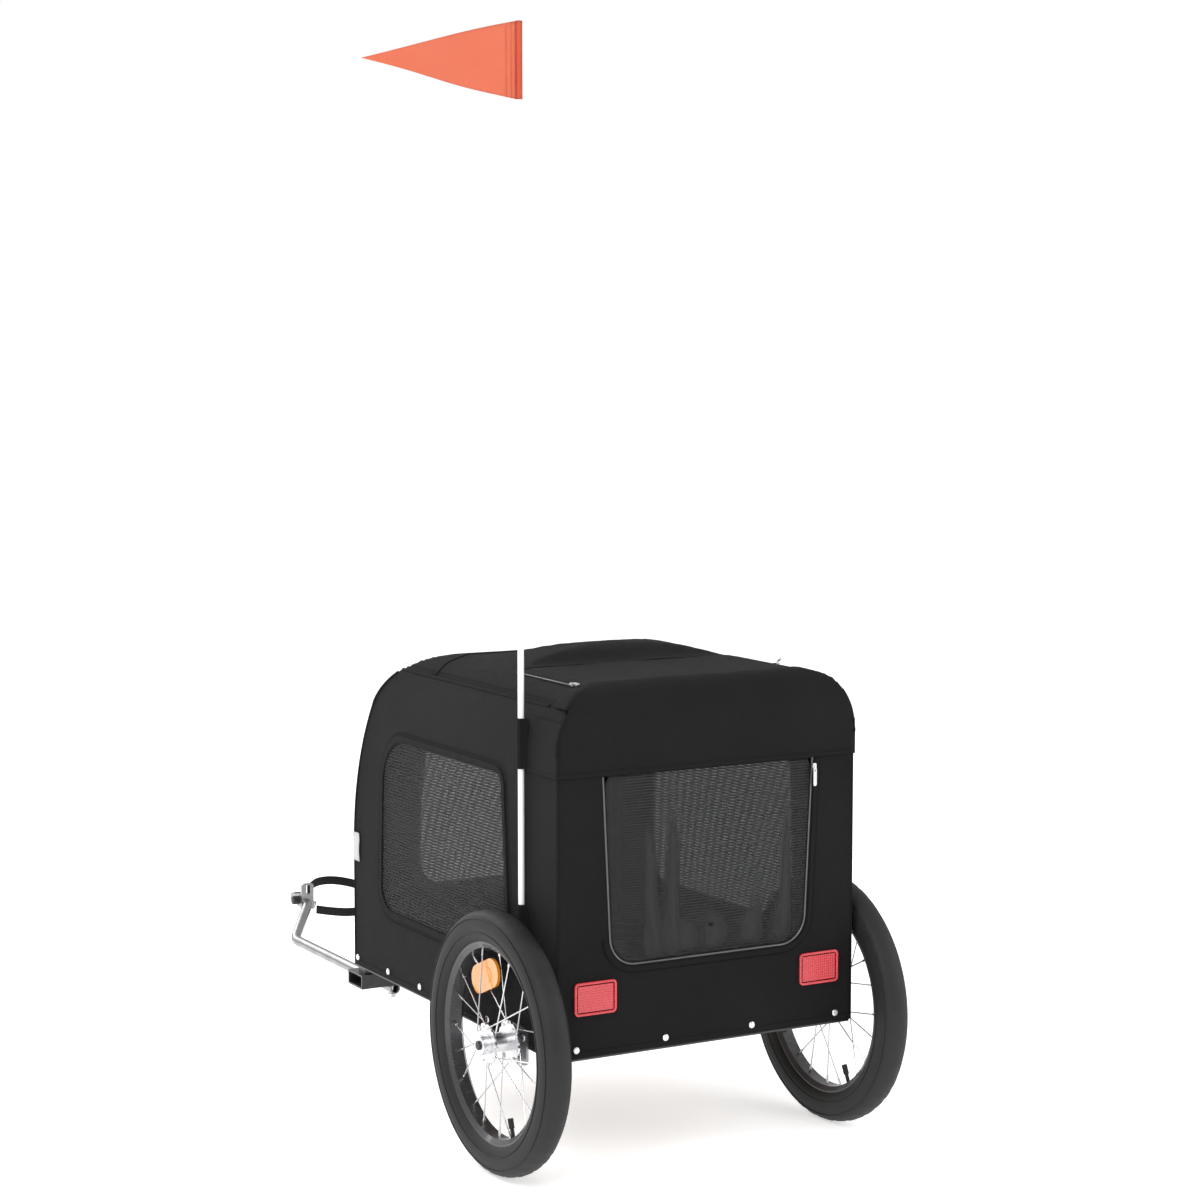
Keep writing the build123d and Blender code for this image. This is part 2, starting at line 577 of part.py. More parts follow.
rear_slider_x = DOOR_HALF_TOP + ZIP_GAP + ZIP_WIDTH - 0.6
rear_face = Plane(
    origin=(rear_slider_x, BODY_REAR - 0.8 - SOFT_GAP, DOOR_TOP - 14.0),
    x_dir=(1, 0, 0),
    z_dir=(0, -1, 0),
)
parts["rear_zip_slider"] = rear_face * make_slider(28.0)
crown_z, crown_r = crown_arc()
slider_x = zip_x + ZIP_WIDTH / 2 + 1.6
slider_lean = degrees(asin(slider_x / crown_r))
slider_z = crown_z + (crown_r + 1.0 + SOFT_GAP) * cos(radians(slider_lean)) + 0.1
for side, word, at in ((-1, "left", FLAP_REAR + 12.0), (1, "right", 10.0)):
    place = Pos(side * slider_x, at, slider_z) * Rot(0, side * slider_lean, 0)
    parts[f"roof_zip_slider_{word}"] = place * make_slider(20.0)

# ---- reflectors on the rear wall ----
lens = []
for side in (-1, 1):
    plate = block((side * 161, side * 232), (BODY_REAR - 4, BODY_REAR), (257, 307))
    lens.append(fillet(plate.edges().filter_by(Axis.Y), 4.0).solid())
parts["rear_reflectors"] = Compound(children=lens)

# ---- flag ----
pocket = rod((POLE_X, POLE_Y, POLE_BOTTOM - 2.2), (POLE_X, POLE_Y, POCKET_TOP), POLE_R + 1.55)
pocket += block(
    (-HALF - SOFT_GAP, POLE_X + 2), (POLE_Y - 9, POLE_Y + 9), (POLE_BOTTOM - 2.2, POCKET_TOP)
)
pocket -= rod((POLE_X, POLE_Y, POLE_BOTTOM - 0.2), (POLE_X, POLE_Y, 500), POLE_R + SOFT_GAP)
pocket &= block((-300, -HALF - SOFT_GAP), (-100, 100), (300, 500))
parts["pole_pocket"] = pocket

lower = rod((POLE_X, POLE_Y, POLE_BOTTOM), (POLE_X, POLE_Y, POLE_JOIN), POLE_R)
parts["flag_pole_lower"] = lower - rod(
    (POLE_X, POLE_Y, POLE_JOIN - 30), (POLE_X, POLE_Y, POLE_JOIN + 1), POLE_TIP_R
)
upper = rod((POLE_X, POLE_Y, POLE_JOIN - 30), (POLE_X, POLE_Y, POLE_TOP), POLE_TIP_R)
for low in (POLE_TOP - FLAG_HOIST - 5.4, POLE_TOP - 1.0):
    upper += rod((POLE_X, POLE_Y, low), (POLE_X, POLE_Y, low + 5.0), FLAG_SLEEVE_R)
parts["flag_pole_upper"] = upper

hoist = (POLE_TOP - FLAG_HOIST - 0.2, POLE_TOP - 1.2)
flag = rod((POLE_X, POLE_Y, hoist[0]), (POLE_X, POLE_Y, hoist[1]), FLAG_SLEEVE_R)
cloth = [(POLE_X, hoist[0]), (POLE_X, hoist[1]), (POLE_X - FLAG_LENGTH, (hoist[0] + hoist[1]) / 2 - 8)]
pennant = Plane(origin=(0, POLE_Y, 0), x_dir=(1, 0, 0), z_dir=(0, -1, 0)) * extrude(
    make_face(Polyline(*cloth, close=True)), FLAG_T / 2, both=True
)
flag = flag + pennant
parts["flag"] = flag - rod((POLE_X, POLE_Y, 1500), (POLE_X, POLE_Y, 1800), POLE_TIP_R + 2 * RUNNING)

# ---- tow arm ----
beam_y = (ARM_PIVOT_Y - 30, ARM_PIVOT_Y + 26)
beam = block((ARM_X - 69, ARM_X + 11), beam_y, BEAM_Z)
beam -= block((ARM_X - 70, ARM_X + 12), (beam_y[0] + 3, beam_y[1] - 3), (BEAM_Z[0] + 3, BEAM_Z[1] - 3))
foot = block((ARM_X - 60, ARM_X - 10), (RAIL_FRONT - RAIL, RAIL_FRONT), (BEAM_Z[1], RAIL_BOTTOM))
bolt_line = (ARM_X, ARM_PIVOT_Y)
parts["tow_bracket"] = beam + foot - rod((*bolt_line, 100), (*bolt_line, 200), PIVOT_R)

bolt_low = ARM_Z - ARM_R - 1.1
bolt = rod((*bolt_line, bolt_low - 6), (*bolt_line, BEAM_Z[1] + 4), PIVOT_R)
nut = Pos(*bolt_line, bolt_low - 6) * extrude(RegularPolygon(7.5, 6), 6.0)
head = Pos(*bolt_line, BEAM_Z[1]) * extrude(RegularPolygon(7.5, 6), 5.0)
washer = rod((*bolt_line, ARM_Z + ARM_R + 0.1), (*bolt_line, BEAM_Z[0]), ARM_R)
parts["tow_pivot_bolt"] = bolt + nut + head + washer

arm_path = FilletPolyline(
    (ARM_X, ARM_PIVOT_Y - 14, ARM_Z), (ARM_X, ARM_BEND_Y, ARM_Z), ARM_TIP, radius=ARM_BEND_R
)
arm = pipe(arm_path, ARM_R, ARM_WALL)
parts["tow_arm"] = arm - rod((*bolt_line, 100), (*bolt_line, 200), PIVOT_R + RUNNING)

# The clevis at the arm's tip, its hinge pin and the tongue that turns on it.
cx, cy, cz = HINGE_PIN
cheek = (HITCH_GAP / 2, HITCH_GAP / 2 + 3.0)
web = block((cx - cheek[1], cx + cheek[1]), (cy - 18, cy - 13), (cz - 15, cz + 33))
web = fillet(web.edges().filter_by(Axis.Y).sort_by(Axis.Z)[-2:], 6.0)
eye = (STRAP_WIDTH + 1.2) / 2
clevis = web - block((cx - 2.6, cx + 4.8), (cy - 20, cy), (cz + 21 - eye, cz + 21 + eye))
for side in (-1, 1):
    plate = block((cx + side * cheek[0], cx + side * cheek[1]), (cy - 13, cy + 10), (cz - 12, cz + 12))
    clevis += fillet(plate.edges().filter_by(Axis.X).sort_by(Axis.Y)[-2:], 9.0)
clevis -= rod((cx - 40, cy, cz), (cx + 40, cy, cz), HITCH_PIN_R)
stud_y, stud_z = cy - 8.0, cz - 8.0
stud = rod((cx + cheek[1], stud_y, stud_z), (cx + cheek[1] + 8, stud_y, stud_z), 2.5)
stud += rod((cx + cheek[1] + 6, stud_y, stud_z), (cx + cheek[1] + 8, stud_y, stud_z), 4.0)
parts["hitch_clevis"] = (clevis + stud) - arm

pin = rod((cx - cheek[1] - 2, cy, cz), (cx + cheek[1] + 6, cy, cz), HITCH_PIN_R)
knob = rod((cx - cheek[1] - 12, cy, cz), (cx - cheek[1] - 0.2, cy, cz), 8.0)
knob = fillet(knob.edges().filter_by(GeomType.CIRCLE).sort_by(Axis.X)[0], 3.0)
parts["hitch_pin"] = pin + knob

tongue_half = HITCH_GAP / 2 - 0.1
tongue = extrude(Rectangle(HITCH_REACH + 22, 14.0), tongue_half, both=True)
tongue = fillet(tongue.edges().filter_by(Axis.Z), 6.5)
side_view = Plane(origin=(cx, cy + HITCH_REACH / 2 + 1, cz), x_dir=(0, 1, 0), z_dir=(1, 0, 0))
tongue = side_view * tongue
tongue -= rod((cx - 40, cy, cz), (cx + 40, cy, cz), HITCH_PIN_R + RUNNING)
parts["hitch_tongue"] = tongue - rod((*HITCH[:2], 100), (*HITCH[:2], 300), HITCH_BORE_R)

# ---- safety strap: webbing from the eye of the clevis, round and back to its stud ----
STRAP_ROUTE = [
    (cx, cy - 17, cz + 21),
    (cx + 14, cy + 4, cz + 22),
    (cx + 44, cy + 36, cz + 24),
    (cx + 88, cy + 52, cz + 19),
    (cx + 130, cy + 38, cz + 8),
    (cx + 150, cy - 2, cz - 6),
    (cx + 132, cy - 42, cz - 16),
    (cx + 90, cy - 58, cz - 22),
    (cx + 50, cy - 46, cz - 22),
    (cx + 19.4, cy - 13, cz - 19),
]


def corner_radii(points):
    """The largest arc that the two runs at each corner leave room for."""
    radii = []
    for a, b, c in zip(points, points[1:], points[2:]):
        a, b, c = Vector(*a), Vector(*b), Vector(*c)
        turn = (b - a).get_angle(c - b)
        radii.append(0.45 * min((b - a).length, (c - b).length) / tan(radians(turn) / 2))
    return radii


def make_strap():
    path = FilletPolyline(*STRAP_ROUTE, radius=corner_radii(STRAP_ROUTE))
    across = Plane(origin=path @ 0, x_dir=(0, 0, 1), z_dir=path % 0)
    strap = sweep(across * Rectangle(STRAP_WIDTH, STRAP_T), path=path)
    print("strap radii", [round(r) for r in corner_radii(STRAP_ROUTE)])
    print("strap length", round(path.length), "volume ratio",
          round(strap.volume / (path.length * STRAP_WIDTH * STRAP_T), 3))
    return strap


parts["safety_strap"] = make_strap()
STRAP_RING_R, STRAP_RING_WIRE = 7.5, 1.6
hang = STRAP_RING_R - STRAP_RING_WIRE - 2.5 - RUNNING
ring_place = Pos(cx + cheek[1] + 3.0, stud_y, stud_z - hang) * Rot(0, 90, 0)
parts["strap_ring"] = ring_place * Torus(STRAP_RING_R, STRAP_RING_WIRE)

# ---- write the files, with the hitch bore as the origin ----
for name, shape in parts.items():
    export_step(Pos(-HITCH[0], -HITCH[1], -HITCH[2]) * shape, f"parts/{name}.step")
print(len(parts), "parts; hitch", HITCH)
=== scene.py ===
# %% [markdown]
# # A bicycle trailer in cloth, tube and rubber
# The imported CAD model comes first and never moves. Everything below is laid over it: cloth
# panels, mesh windows, zips, tyres and finishes. Each cell makes one kind of thing.

import json
import math

import bmesh
import bpy
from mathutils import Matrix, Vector, noise


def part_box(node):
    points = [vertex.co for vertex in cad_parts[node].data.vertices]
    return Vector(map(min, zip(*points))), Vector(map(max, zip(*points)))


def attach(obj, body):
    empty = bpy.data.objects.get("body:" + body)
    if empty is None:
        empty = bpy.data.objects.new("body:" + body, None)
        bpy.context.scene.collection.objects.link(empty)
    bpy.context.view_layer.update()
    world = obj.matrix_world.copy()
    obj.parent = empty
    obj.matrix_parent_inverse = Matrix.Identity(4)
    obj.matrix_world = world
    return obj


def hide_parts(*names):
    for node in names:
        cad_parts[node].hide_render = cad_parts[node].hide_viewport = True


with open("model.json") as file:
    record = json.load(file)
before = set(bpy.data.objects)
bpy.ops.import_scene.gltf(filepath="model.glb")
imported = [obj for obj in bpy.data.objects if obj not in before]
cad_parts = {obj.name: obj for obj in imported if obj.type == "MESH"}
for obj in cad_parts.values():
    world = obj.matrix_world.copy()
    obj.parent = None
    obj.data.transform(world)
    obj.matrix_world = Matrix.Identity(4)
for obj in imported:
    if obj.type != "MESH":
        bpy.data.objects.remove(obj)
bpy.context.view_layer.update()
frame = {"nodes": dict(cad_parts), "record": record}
scene = bpy.context.scene

# %% [markdown]
# A designer measures a trailer from the ground under its axle, in millimetres. The frame uses
# metres from the hitch. One helper turns the first into the second, so every size below can be
# read as a size of the real thing.

# %% Places in millimetres from the ground under the axle
tyre_low, tyre_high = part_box("tyre_left")
_, right_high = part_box("tyre_right")
ORIGIN = Vector(((tyre_low[0] + right_high[0]) / 2, (tyre_low[1] + tyre_high[1]) / 2, tyre_low[2]))


def at(x, y, z):
    return ORIGIN + Vector((x, y, z)) * 0.001


def extent(node):
    low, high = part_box(node)
    return (Vector(low) - ORIGIN) * 1000, (Vector(high) - ORIGIN) * 1000


WHEEL_X = (extent("tyre_right")[0].x + extent("tyre_right")[1].x) / 2
TYRE_R = (tyre_high[2] - tyre_low[2]) * 500
HALF = extent("side_panel_right")[1].x
BOTTOM = extent("side_panel_right")[0].z
REAR = extent("rear_panel")[0].y
FRONT = extent("front_panel")[1].y
CROWN = extent("roof_panel")[1].z
FLAP = extent("roof_flap")
ROOF = 742.0
print("cabin", round(2 * HALF), "wide", round(FRONT - REAR), "long", round(CROWN - BOTTOM), "high")

# %% [markdown]
# The camera stands behind and to the left, a little above the roof, with a long lens so that
# the box hardly tapers. Its place was worked out once from the size of the wheels.

# %% Camera
CAMERA_YAW, CAMERA_PITCH = math.radians(29.3724), math.radians(5.697)
camera = bpy.data.objects.new("camera", bpy.data.cameras.new("camera"))
camera.location = at(-2122.4, -3556.2, 1261.3)
camera.rotation_euler = (math.pi / 2 - CAMERA_PITCH, 0, -CAMERA_YAW)
camera.data.lens, camera.data.sensor_width = 82.17, 36.0
camera.data.clip_end = 60.0
scene.collection.objects.link(camera)
scene.camera = camera

# %% [markdown]
# Black cloth on white paper needs soft light from several sides, or its folds vanish. One big
# light hangs over the left shoulder, one fills from the right, and one rakes the roof.

# %% Studio
def area_light(name, place, aim, size, power):
    lamp = bpy.data.lights.new(name, "AREA")
    lamp.size, lamp.energy = size, power
    holder = bpy.data.objects.new(name, lamp)
    holder.location = at(*place)
    holder.rotation_euler = (at(*aim) - at(*place)).to_track_quat("-Z", "Y").to_euler()
    scene.collection.objects.link(holder)


area_light("key", (-2600, -2300, 3000), (0, 200, 450), 2.2, 92)
area_light("fill", (3000, -1800, 1700), (0, 200, 450), 2.5, 42)
area_light("back", (-1200, 3600, 2600), (0, 300, 600), 2.5, 85)

world = bpy.data.worlds.new("studio")
world.use_nodes = True
world.node_tree.nodes["Background"].inputs["Color"].default_value = (1, 1, 1, 1)
studio = world.node_tree
ray = studio.nodes.new("ShaderNodeLightPath")
level = studio.nodes.new("ShaderNodeMapRange")
level.inputs["To Min"].default_value, level.inputs["To Max"].default_value = 0.68, 1.0
studio.links.new(ray.outputs["Is Camera Ray"], level.inputs["Value"])
studio.links.new(level.outputs["Result"], studio.nodes["Background"].inputs["Strength"])
scene.world = world
scene.view_settings.view_transform = "Standard"

# %% [markdown]
# ## Shared shader effects
# Weave, mottling and wear turn up on many pieces, so each is a node group with named sockets.
# A small helper adds nodes and links, which keeps each recipe to a few lines.

# %% Node helpers
class Tree:
    """Adds nodes to a tree and wires them by socket name."""

    def __init__(self, tree):
        self.tree = tree

    def add(self, kind, inputs=None, **settings):
        node = self.tree.nodes.new(kind)
        for key, value in settings.items():
            setattr(node, key, value)
        for key, value in (inputs or {}).items():
            socket = node.inputs[key]
            if isinstance(value, bpy.types.NodeSocket):
                self.tree.links.new(value, socket)
            else:
                socket.default_value = value
        return node

    def math(self, operation, a, b=0.0, clamp=False):
        return self.add("ShaderNodeMath", {0: a, 1: b}, operation=operation, use_clamp=clamp).outputs[0]

    def mix(self, factor, a, b):
        node = self.add("ShaderNodeMix", {"Factor": factor}, data_type="RGBA")
        for index, value in ((6, a), (7, b)):
            if isinstance(value, bpy.types.NodeSocket):
                self.tree.links.new(value, node.inputs[index])
            else:
                node.inputs[index].default_value = (*value, 1.0)
        return node.outputs[2]

    def ramp(self, value, low, high):
        limits = {"Value": value, "From Min": low, "From Max": high}
        return self.add("ShaderNodeMapRange", limits).outputs["Result"]


def group(name, inputs, outputs):
    """A new node group, with (name, default) inputs and its output names."""
    tree = bpy.data.node_groups.new(name, "ShaderNodeTree")
    for label, default in inputs:
        socket = tree.interface.new_socket(label, in_out="INPUT", socket_type="NodeSocketFloat")
        socket.default_value = default
    for label in outputs:
        tree.interface.new_socket(label, in_out="OUTPUT", socket_type="NodeSocketFloat")
    t = Tree(tree)
    return t, t.add("NodeGroupInput").outputs, t.add("NodeGroupOutput").inputs


# %% [markdown]
# Oxford cloth is a plain weave: threads cross over and under about every millimetre. Two
# crossed waves give that, and because they follow the object's own axes the threads run level
# on every wall without any unwrapping.

# %% Weave group
t, given, result = group("weave", [("Pitch", 1.1), ("Slub", 0.3)], ["Height", "Shade"])
place = t.add("ShaderNodeTexCoord").outputs["Object"]
axes = t.add("ShaderNodeSeparateXYZ", {0: place}).outputs
turns = t.math("DIVIDE", 2 * math.pi * 1000, given["Pitch"])
across = t.math("MULTIPLY", t.math("ADD", axes[0], axes[1]), turns)
upward = t.math("MULTIPLY", t.math("ADD", axes[2], t.math("MULTIPLY", axes[0], 0.31)), turns)
warp = t.math("SINE", across)
weft = t.math("SINE", upward)
crossing = t.math("ABSOLUTE", t.math("MULTIPLY", warp, weft))
slub = t.add("ShaderNodeTexNoise", {"Vector": place, "Scale": 260.0, "Detail": 2.0}).outputs["Fac"]
height = t.math("ADD", crossing, t.math("MULTIPLY", slub, given["Slub"]))
t.tree.links.new(height, result["Height"])
t.tree.links.new(t.math("MULTIPLY", height, 0.7, clamp=True), result["Shade"])
weave = t.tree

# %% [markdown]
# Nothing real is one flat colour. Mottling is a slow noise that lifts and lowers a colour by a
# few percent, and dust gathers where it is strongest.

# %% Mottle group
t, given, result = group("mottle", [("Scale", 9.0), ("Amount", 0.5)], ["Mask"])
place = t.add("ShaderNodeTexCoord").outputs["Object"]
slow = t.add("ShaderNodeTexNoise", {"Vector": place, "Scale": given["Scale"], "Detail": 5.0})
spread = t.ramp(slow.outputs["Fac"], 0.35, 0.68)
t.tree.links.new(t.math("MULTIPLY", spread, given["Amount"], clamp=True), result["Mask"])
mottle = t.tree

# %% [markdown]
# Paint and zinc show fine handling scratches. They are a noise stretched hard along one axis
# and then cut to thin lines.

# %% Scratch group
t, given, result = group("scratches", [("Density", 60.0), ("Amount", 0.5)], ["Mask"])
place = t.add("ShaderNodeTexCoord").outputs["Object"]
long = t.add("ShaderNodeMapping", {"Vector": place, "Scale": (1.0, 6.0, 9.0)}).outputs[0]
lines = t.add("ShaderNodeTexNoise", {"Vector": long, "Scale": given["Density"], "Detail": 6.0})
thin = t.ramp(lines.outputs["Fac"], 0.56, 0.72)
t.tree.links.new(t.math("MULTIPLY", thin, given["Amount"], clamp=True), result["Mask"])
scratches = t.tree


# %% [markdown]
# ## Finishes
# Each finish is one function: a shader with plain values on its own sockets, and groups that
# feed only its colour, roughness and bump.

# %% Material helpers
def surface(name, color, roughness, **sockets):
    """A material, its tree helper and its main shader, with constant values set on it."""
    material = bpy.data.materials.new(name)
    material.use_nodes = True
    shader = material.node_tree.nodes["Principled BSDF"]
    shader.inputs["Base Color"].default_value = (*color, 1.0)
    shader.inputs["Roughness"].default_value = roughness
    for key, value in sockets.items():
        shader.inputs[key.replace("_", " ")].default_value = value
    return material, Tree(material.node_tree), shader


def placed(t, tree, **values):
    """One of the shared groups inside a material."""
    node = t.add("ShaderNodeGroup", node_tree=tree)
    for key, value in values.items():
        node.inputs[key].default_value = value
    return node.outputs


def bump(t, shader, height, distance, strength=1.0):
    node = t.add("ShaderNodeBump", {"Height": height, "Distance": distance, "Strength": strength})
    t.tree.links.new(node.outputs["Normal"], shader.inputs["Normal"])


def cloth_finish(name, dark, light, pitch=1.1, roughness=0.78, depth=0.0004, amount=0.6,
                 sheen=0.015):
    """Woven cloth: darker between the threads, a little sheen, and slow fading."""
    material, t, shader = surface(name, dark, roughness, Sheen_Weight=sheen, Sheen_Roughness=0.5,
                             Specular_IOR_Level=0.14)
    threads = placed(t, weave, Pitch=pitch, Slub=0.35)
    faded = placed(t, mottle, Scale=7.0, Amount=amount)
    tone = t.mix(threads["Shade"], dark, light)
    tone = t.mix(faded["Mask"], tone, light)
    t.tree.links.new(tone, shader.inputs["Base Color"])
    rough = t.ramp(threads["Shade"], -1.2, 1.6)
    t.tree.links.new(t.math("MAXIMUM", rough, roughness), shader.inputs["Roughness"])
    bump(t, shader, threads["Height"], depth)
    return material


def metal_finish(name, color, worn, roughness, metallic=1.0, density=60.0, coat=0.0):
    """Metal or paint with fine scratches that show a second colour."""
    material, t, shader = surface(name, color, roughness, Metallic=metallic, Coat_Weight=coat)
    marks = placed(t, scratches, Density=density, Amount=0.55)
    blotches = placed(t, mottle, Scale=38.0, Amount=0.5)
    tone = t.mix(marks["Mask"], color, worn)
    tone = t.mix(blotches["Mask"], tone, tuple(0.75 * c for c in color))
    t.tree.links.new(tone, shader.inputs["Base Color"])
    rough = t.math("ADD", t.math("MULTIPLY", blotches["Mask"], 0.18), roughness)
    t.tree.links.new(rough, shader.inputs["Roughness"])
    bump(t, shader, marks["Mask"], 0.0001, 0.6)
    return material


def plastic_finish(name, color, roughness, grain=420.0, depth=0.0001, **sockets):
    """Moulded plastic or rubber with a fine grain."""
    material, t, shader = surface(name, color, roughness, **sockets)
    place = t.add("ShaderNodeTexCoord").outputs["Object"]
    fine = t.add("ShaderNodeTexNoise", {"Vector": place, "Scale": grain, "Detail": 3.0}).outputs[0]
    dusty = placed(t, mottle, Scale=14.0, Amount=0.35)
    tone = t.mix(dusty["Mask"], color, tuple(min(1.0, c * 1.35 + 0.01) for c in color))
    t.tree.links.new(tone, shader.inputs["Base Color"])
    rough = t.math("ADD", t.math("MULTIPLY", dusty["Mask"], 0.2), roughness)
    t.tree.links.new(rough, shader.inputs["Roughness"])
    bump(t, shader, fine, depth)
    return material


# %% [markdown]
# The windows are polyester net. At arm's length its holes are too small to see, so the
# net is a dark cloth that lets about a third of the light through, in level rows.

# %% Net finish
def net_finish(name, color, clear, rows, roughness):
    """Net whose rows are a little more open than the threads between them."""
    material, t, shader = surface(name, color, roughness, Specular_IOR_Level=0.3)
    place = t.add("ShaderNodeTexCoord").outputs["Object"]
    level = t.add("ShaderNodeSeparateXYZ", {0: place}).outputs[2]
    wave = t.math("SINE", t.math("MULTIPLY", level, 2 * math.pi * 1000 / rows))
    opening = t.math("MULTIPLY", t.ramp(wave, -1.6, 1.0), clear)
    # The fold value stored on a mesh makes the net opaque there, so it shows dark: painted shade along the folds.
    fold_shade = t.add("ShaderNodeAttribute", attribute_name="fold_shade").outputs["Fac"]
    solid = t.math("MAXIMUM", t.math("SUBTRACT", 1.0, opening), fold_shade, clamp=True)
    t.tree.links.new(solid, shader.inputs["Alpha"])
    threads = placed(t, weave, Pitch=1.6, Slub=0.1)
    tone = t.mix(threads["Shade"], tuple(0.6 * c for c in color), color)
    t.tree.links.new(tone, shader.inputs["Base Color"])
    bump(t, shader, threads["Height"], 0.0002)
    return material


CLOTH = cloth_finish("black_cloth", (0.004, 0.004, 0.0045), (0.011, 0.011, 0.0115))
CLOTH_INSIDE = cloth_finish("grey_cloth", (0.03, 0.03, 0.032), (0.06, 0.06, 0.063), pitch=2.0)
TAPE = cloth_finish("binding_tape", (0.004, 0.004, 0.004), (0.011, 0.011, 0.011), pitch=0.8)
WEBBING = cloth_finish("webbing", (0.006, 0.006, 0.006), (0.02, 0.02, 0.02), pitch=2.2, depth=0.0006)
FLAG_CLOTH = cloth_finish("flag_cloth", (0.86, 0.17, 0.09), (0.9, 0.24, 0.14), pitch=0.9, amount=0.4)
SLEEVE_CLOTH = cloth_finish("sleeve_cloth", (0.66, 0.09, 0.045), (0.74, 0.13, 0.07), pitch=0.9)
LABEL_CLOTH = cloth_finish("label_cloth", (0.8, 0.8, 0.8), (0.9, 0.9, 0.9), pitch=0.6)
NET = net_finish("window_net", (0.012, 0.012, 0.0125), 0.62, 5.0, 0.6)
DOOR_NET = net_finish("door_net", (0.014, 0.014, 0.015), 0.5, 4.2, 0.3)
PAINT = metal_finish("black_paint", (0.012, 0.012, 0.012), (0.08, 0.08, 0.08), 0.36, metallic=0.0, coat=0.3)
RIM_PAINT = metal_finish("rim_paint", (0.045, 0.045, 0.048), (0.16, 0.16, 0.16), 0.34, metallic=0.3, coat=0.3)
ZINC = metal_finish("zinc", (0.34, 0.34, 0.34), (0.6, 0.6, 0.6), 0.34)
BRIGHT = metal_finish("bright_steel", (0.72, 0.72, 0.73), (0.9, 0.9, 0.9), 0.2)
ALLOY = metal_finish("hub_alloy", (0.78, 0.78, 0.8), (0.95, 0.95, 0.95), 0.26, density=140.0)
BEARING = metal_finish("bearing_steel", (0.3, 0.3, 0.32), (0.6, 0.6, 0.6), 0.28)
RUBBER = plastic_finish("tyre_rubber", (0.014, 0.014, 0.014), 0.6, grain=300.0, depth=0.0002, Specular_IOR_Level=0.3)
KNOB = plastic_finish("black_plastic", (0.012, 0.012, 0.012), 0.45)
WHITE = plastic_finish("white_rod", (0.86, 0.86, 0.86), 0.22, grain=90.0, depth=0.00003, Coat_Weight=0.4)
BOARD = plastic_finish("hardboard", (0.16, 0.1, 0.06), 0.7, grain=180.0, depth=0.0003)
RED_LENS = plastic_finish(
    "red_lens", (0.5, 0.025, 0.035), 0.22, grain=60.0, depth=0.00003, Coat_Weight=0.6
)
AMBER_LENS = plastic_finish(
    "amber_lens", (0.72, 0.25, 0.02), 0.16, grain=60.0, depth=0.00003, Coat_Weight=0.8
)
print("finishes", len(bpy.data.materials))

# %% [markdown]
# The CAD pieces whose shape is already right keep it, and only take a finish. The record says
# which slot each node belongs to, so a small table does the whole frame.

# %% Finishes for the CAD pieces
SLOT_FINISH = {
    "frame_black": PAINT, "galvanised": ZINC, "rim_black": RIM_PAINT, "spoke_steel": BRIGHT,
    "hub_alloy": ALLOY, "tyre_rubber": RUBBER, "tube_rubber": RUBBER, "bearing_steel": BEARING,
    "reflector_red": RED_LENS, "reflector_amber": AMBER_LENS, "pole_white": WHITE,
    "flag_orange": FLAG_CLOTH, "zip_metal": BRIGHT, "screw_zinc": BRIGHT, "knob_black": KNOB,
    "board": BOARD, "cushion_fabric": CLOTH_INSIDE, "webbing_black": WEBBING,
    "fabric_black": CLOTH, "mesh_black": NET,
}
for subpart in frame["record"]["subparts"]:
    for slot in frame["nodes"][subpart["node"]].material_slots:
        slot.material = SLOT_FINISH[subpart["material_slot"]]


# %% [markdown]
# ## Building pieces
# Most cloth is made from a few ideas: a net of points mapped on to the cabin's skin, a tape or
# a tube along a line, and a row of stitches. Each gets one function.

# %% Piece helpers
def piece(name, points, faces, finish, body, smooth=True):
    """A mesh object from points in millimetres, riding on a body."""
    mesh = bpy.data.meshes.new(name)
    mesh.from_pydata([at(*p) for p in points], [], faces)
    mesh.materials.append(finish)
    for polygon in mesh.polygons:
        polygon.use_smooth = smooth
    made = bpy.data.objects.new(name, mesh)
    scene.collection.objects.link(made)
    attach(made, body)
    return made


def net_faces(rows, columns):
    """The faces of a net of points, given by rows."""
    return [(j * columns + i, j * columns + i + 1, (j + 1) * columns + i + 1, (j + 1) * columns + i)
            for j in range(rows - 1) for i in range(columns - 1)]


def outward(made, centre):
    """Turns the faces so that they look away from a point."""
    work = bmesh.new()
    work.from_mesh(made.data)
    target = at(*centre)
    facing = sum((f.calc_center_median() - target).dot(f.normal) * f.calc_area() for f in work.faces)
    if facing < 0:
        bmesh.ops.reverse_faces(work, faces=work.faces)
    work.to_mesh(made.data)
    work.free()
    return made


def thicken(made, thickness):
    """Gives a sheet its thickness, inward from its outer face."""
    solid = made.modifiers.new("thickness", "SOLIDIFY")
    solid.thickness, solid.offset = thickness * 0.001, -1.0
    return made


def along(points, closed):
    """The direction of a line at each of its points."""
    count = len(points)
    for i in range(count):
        before = points[i - 1] if closed or i else points[i]
        after = points[(i + 1) % count] if closed or i < count - 1 else points[i]
        yield (after - before).normalized()


def swept(name, points, normals, section, finish, body, closed=False):
    """A section of (across, up) pairs carried along a line with its normals."""
    ring, verts, faces = len(section), [], []
    for point, normal, tangent in zip(points, normals, along(points, closed)):
        side = tangent.cross(normal).normalized()
        up = side.cross(tangent)
        verts += [point + side * a + up * b for a, b in section]
    count = len(points)
    for i in range(count if closed else count - 1):
        j = (i + 1) % count
        for k in range(ring):
            m = (k + 1) % ring
            faces.append((i * ring + k, i * ring + m, j * ring + m, j * ring + k))
    if not closed:
        faces.append(tuple(range(ring))[::-1])
        faces.append(tuple((count - 1) * ring + k for k in range(ring)))
    return piece(name, verts, faces, finish, body)


def round_section(radius, sides=8):
    return [(radius * math.cos(a), radius * math.sin(a)) for a in
            (2 * math.pi * k / sides for k in range(sides))]


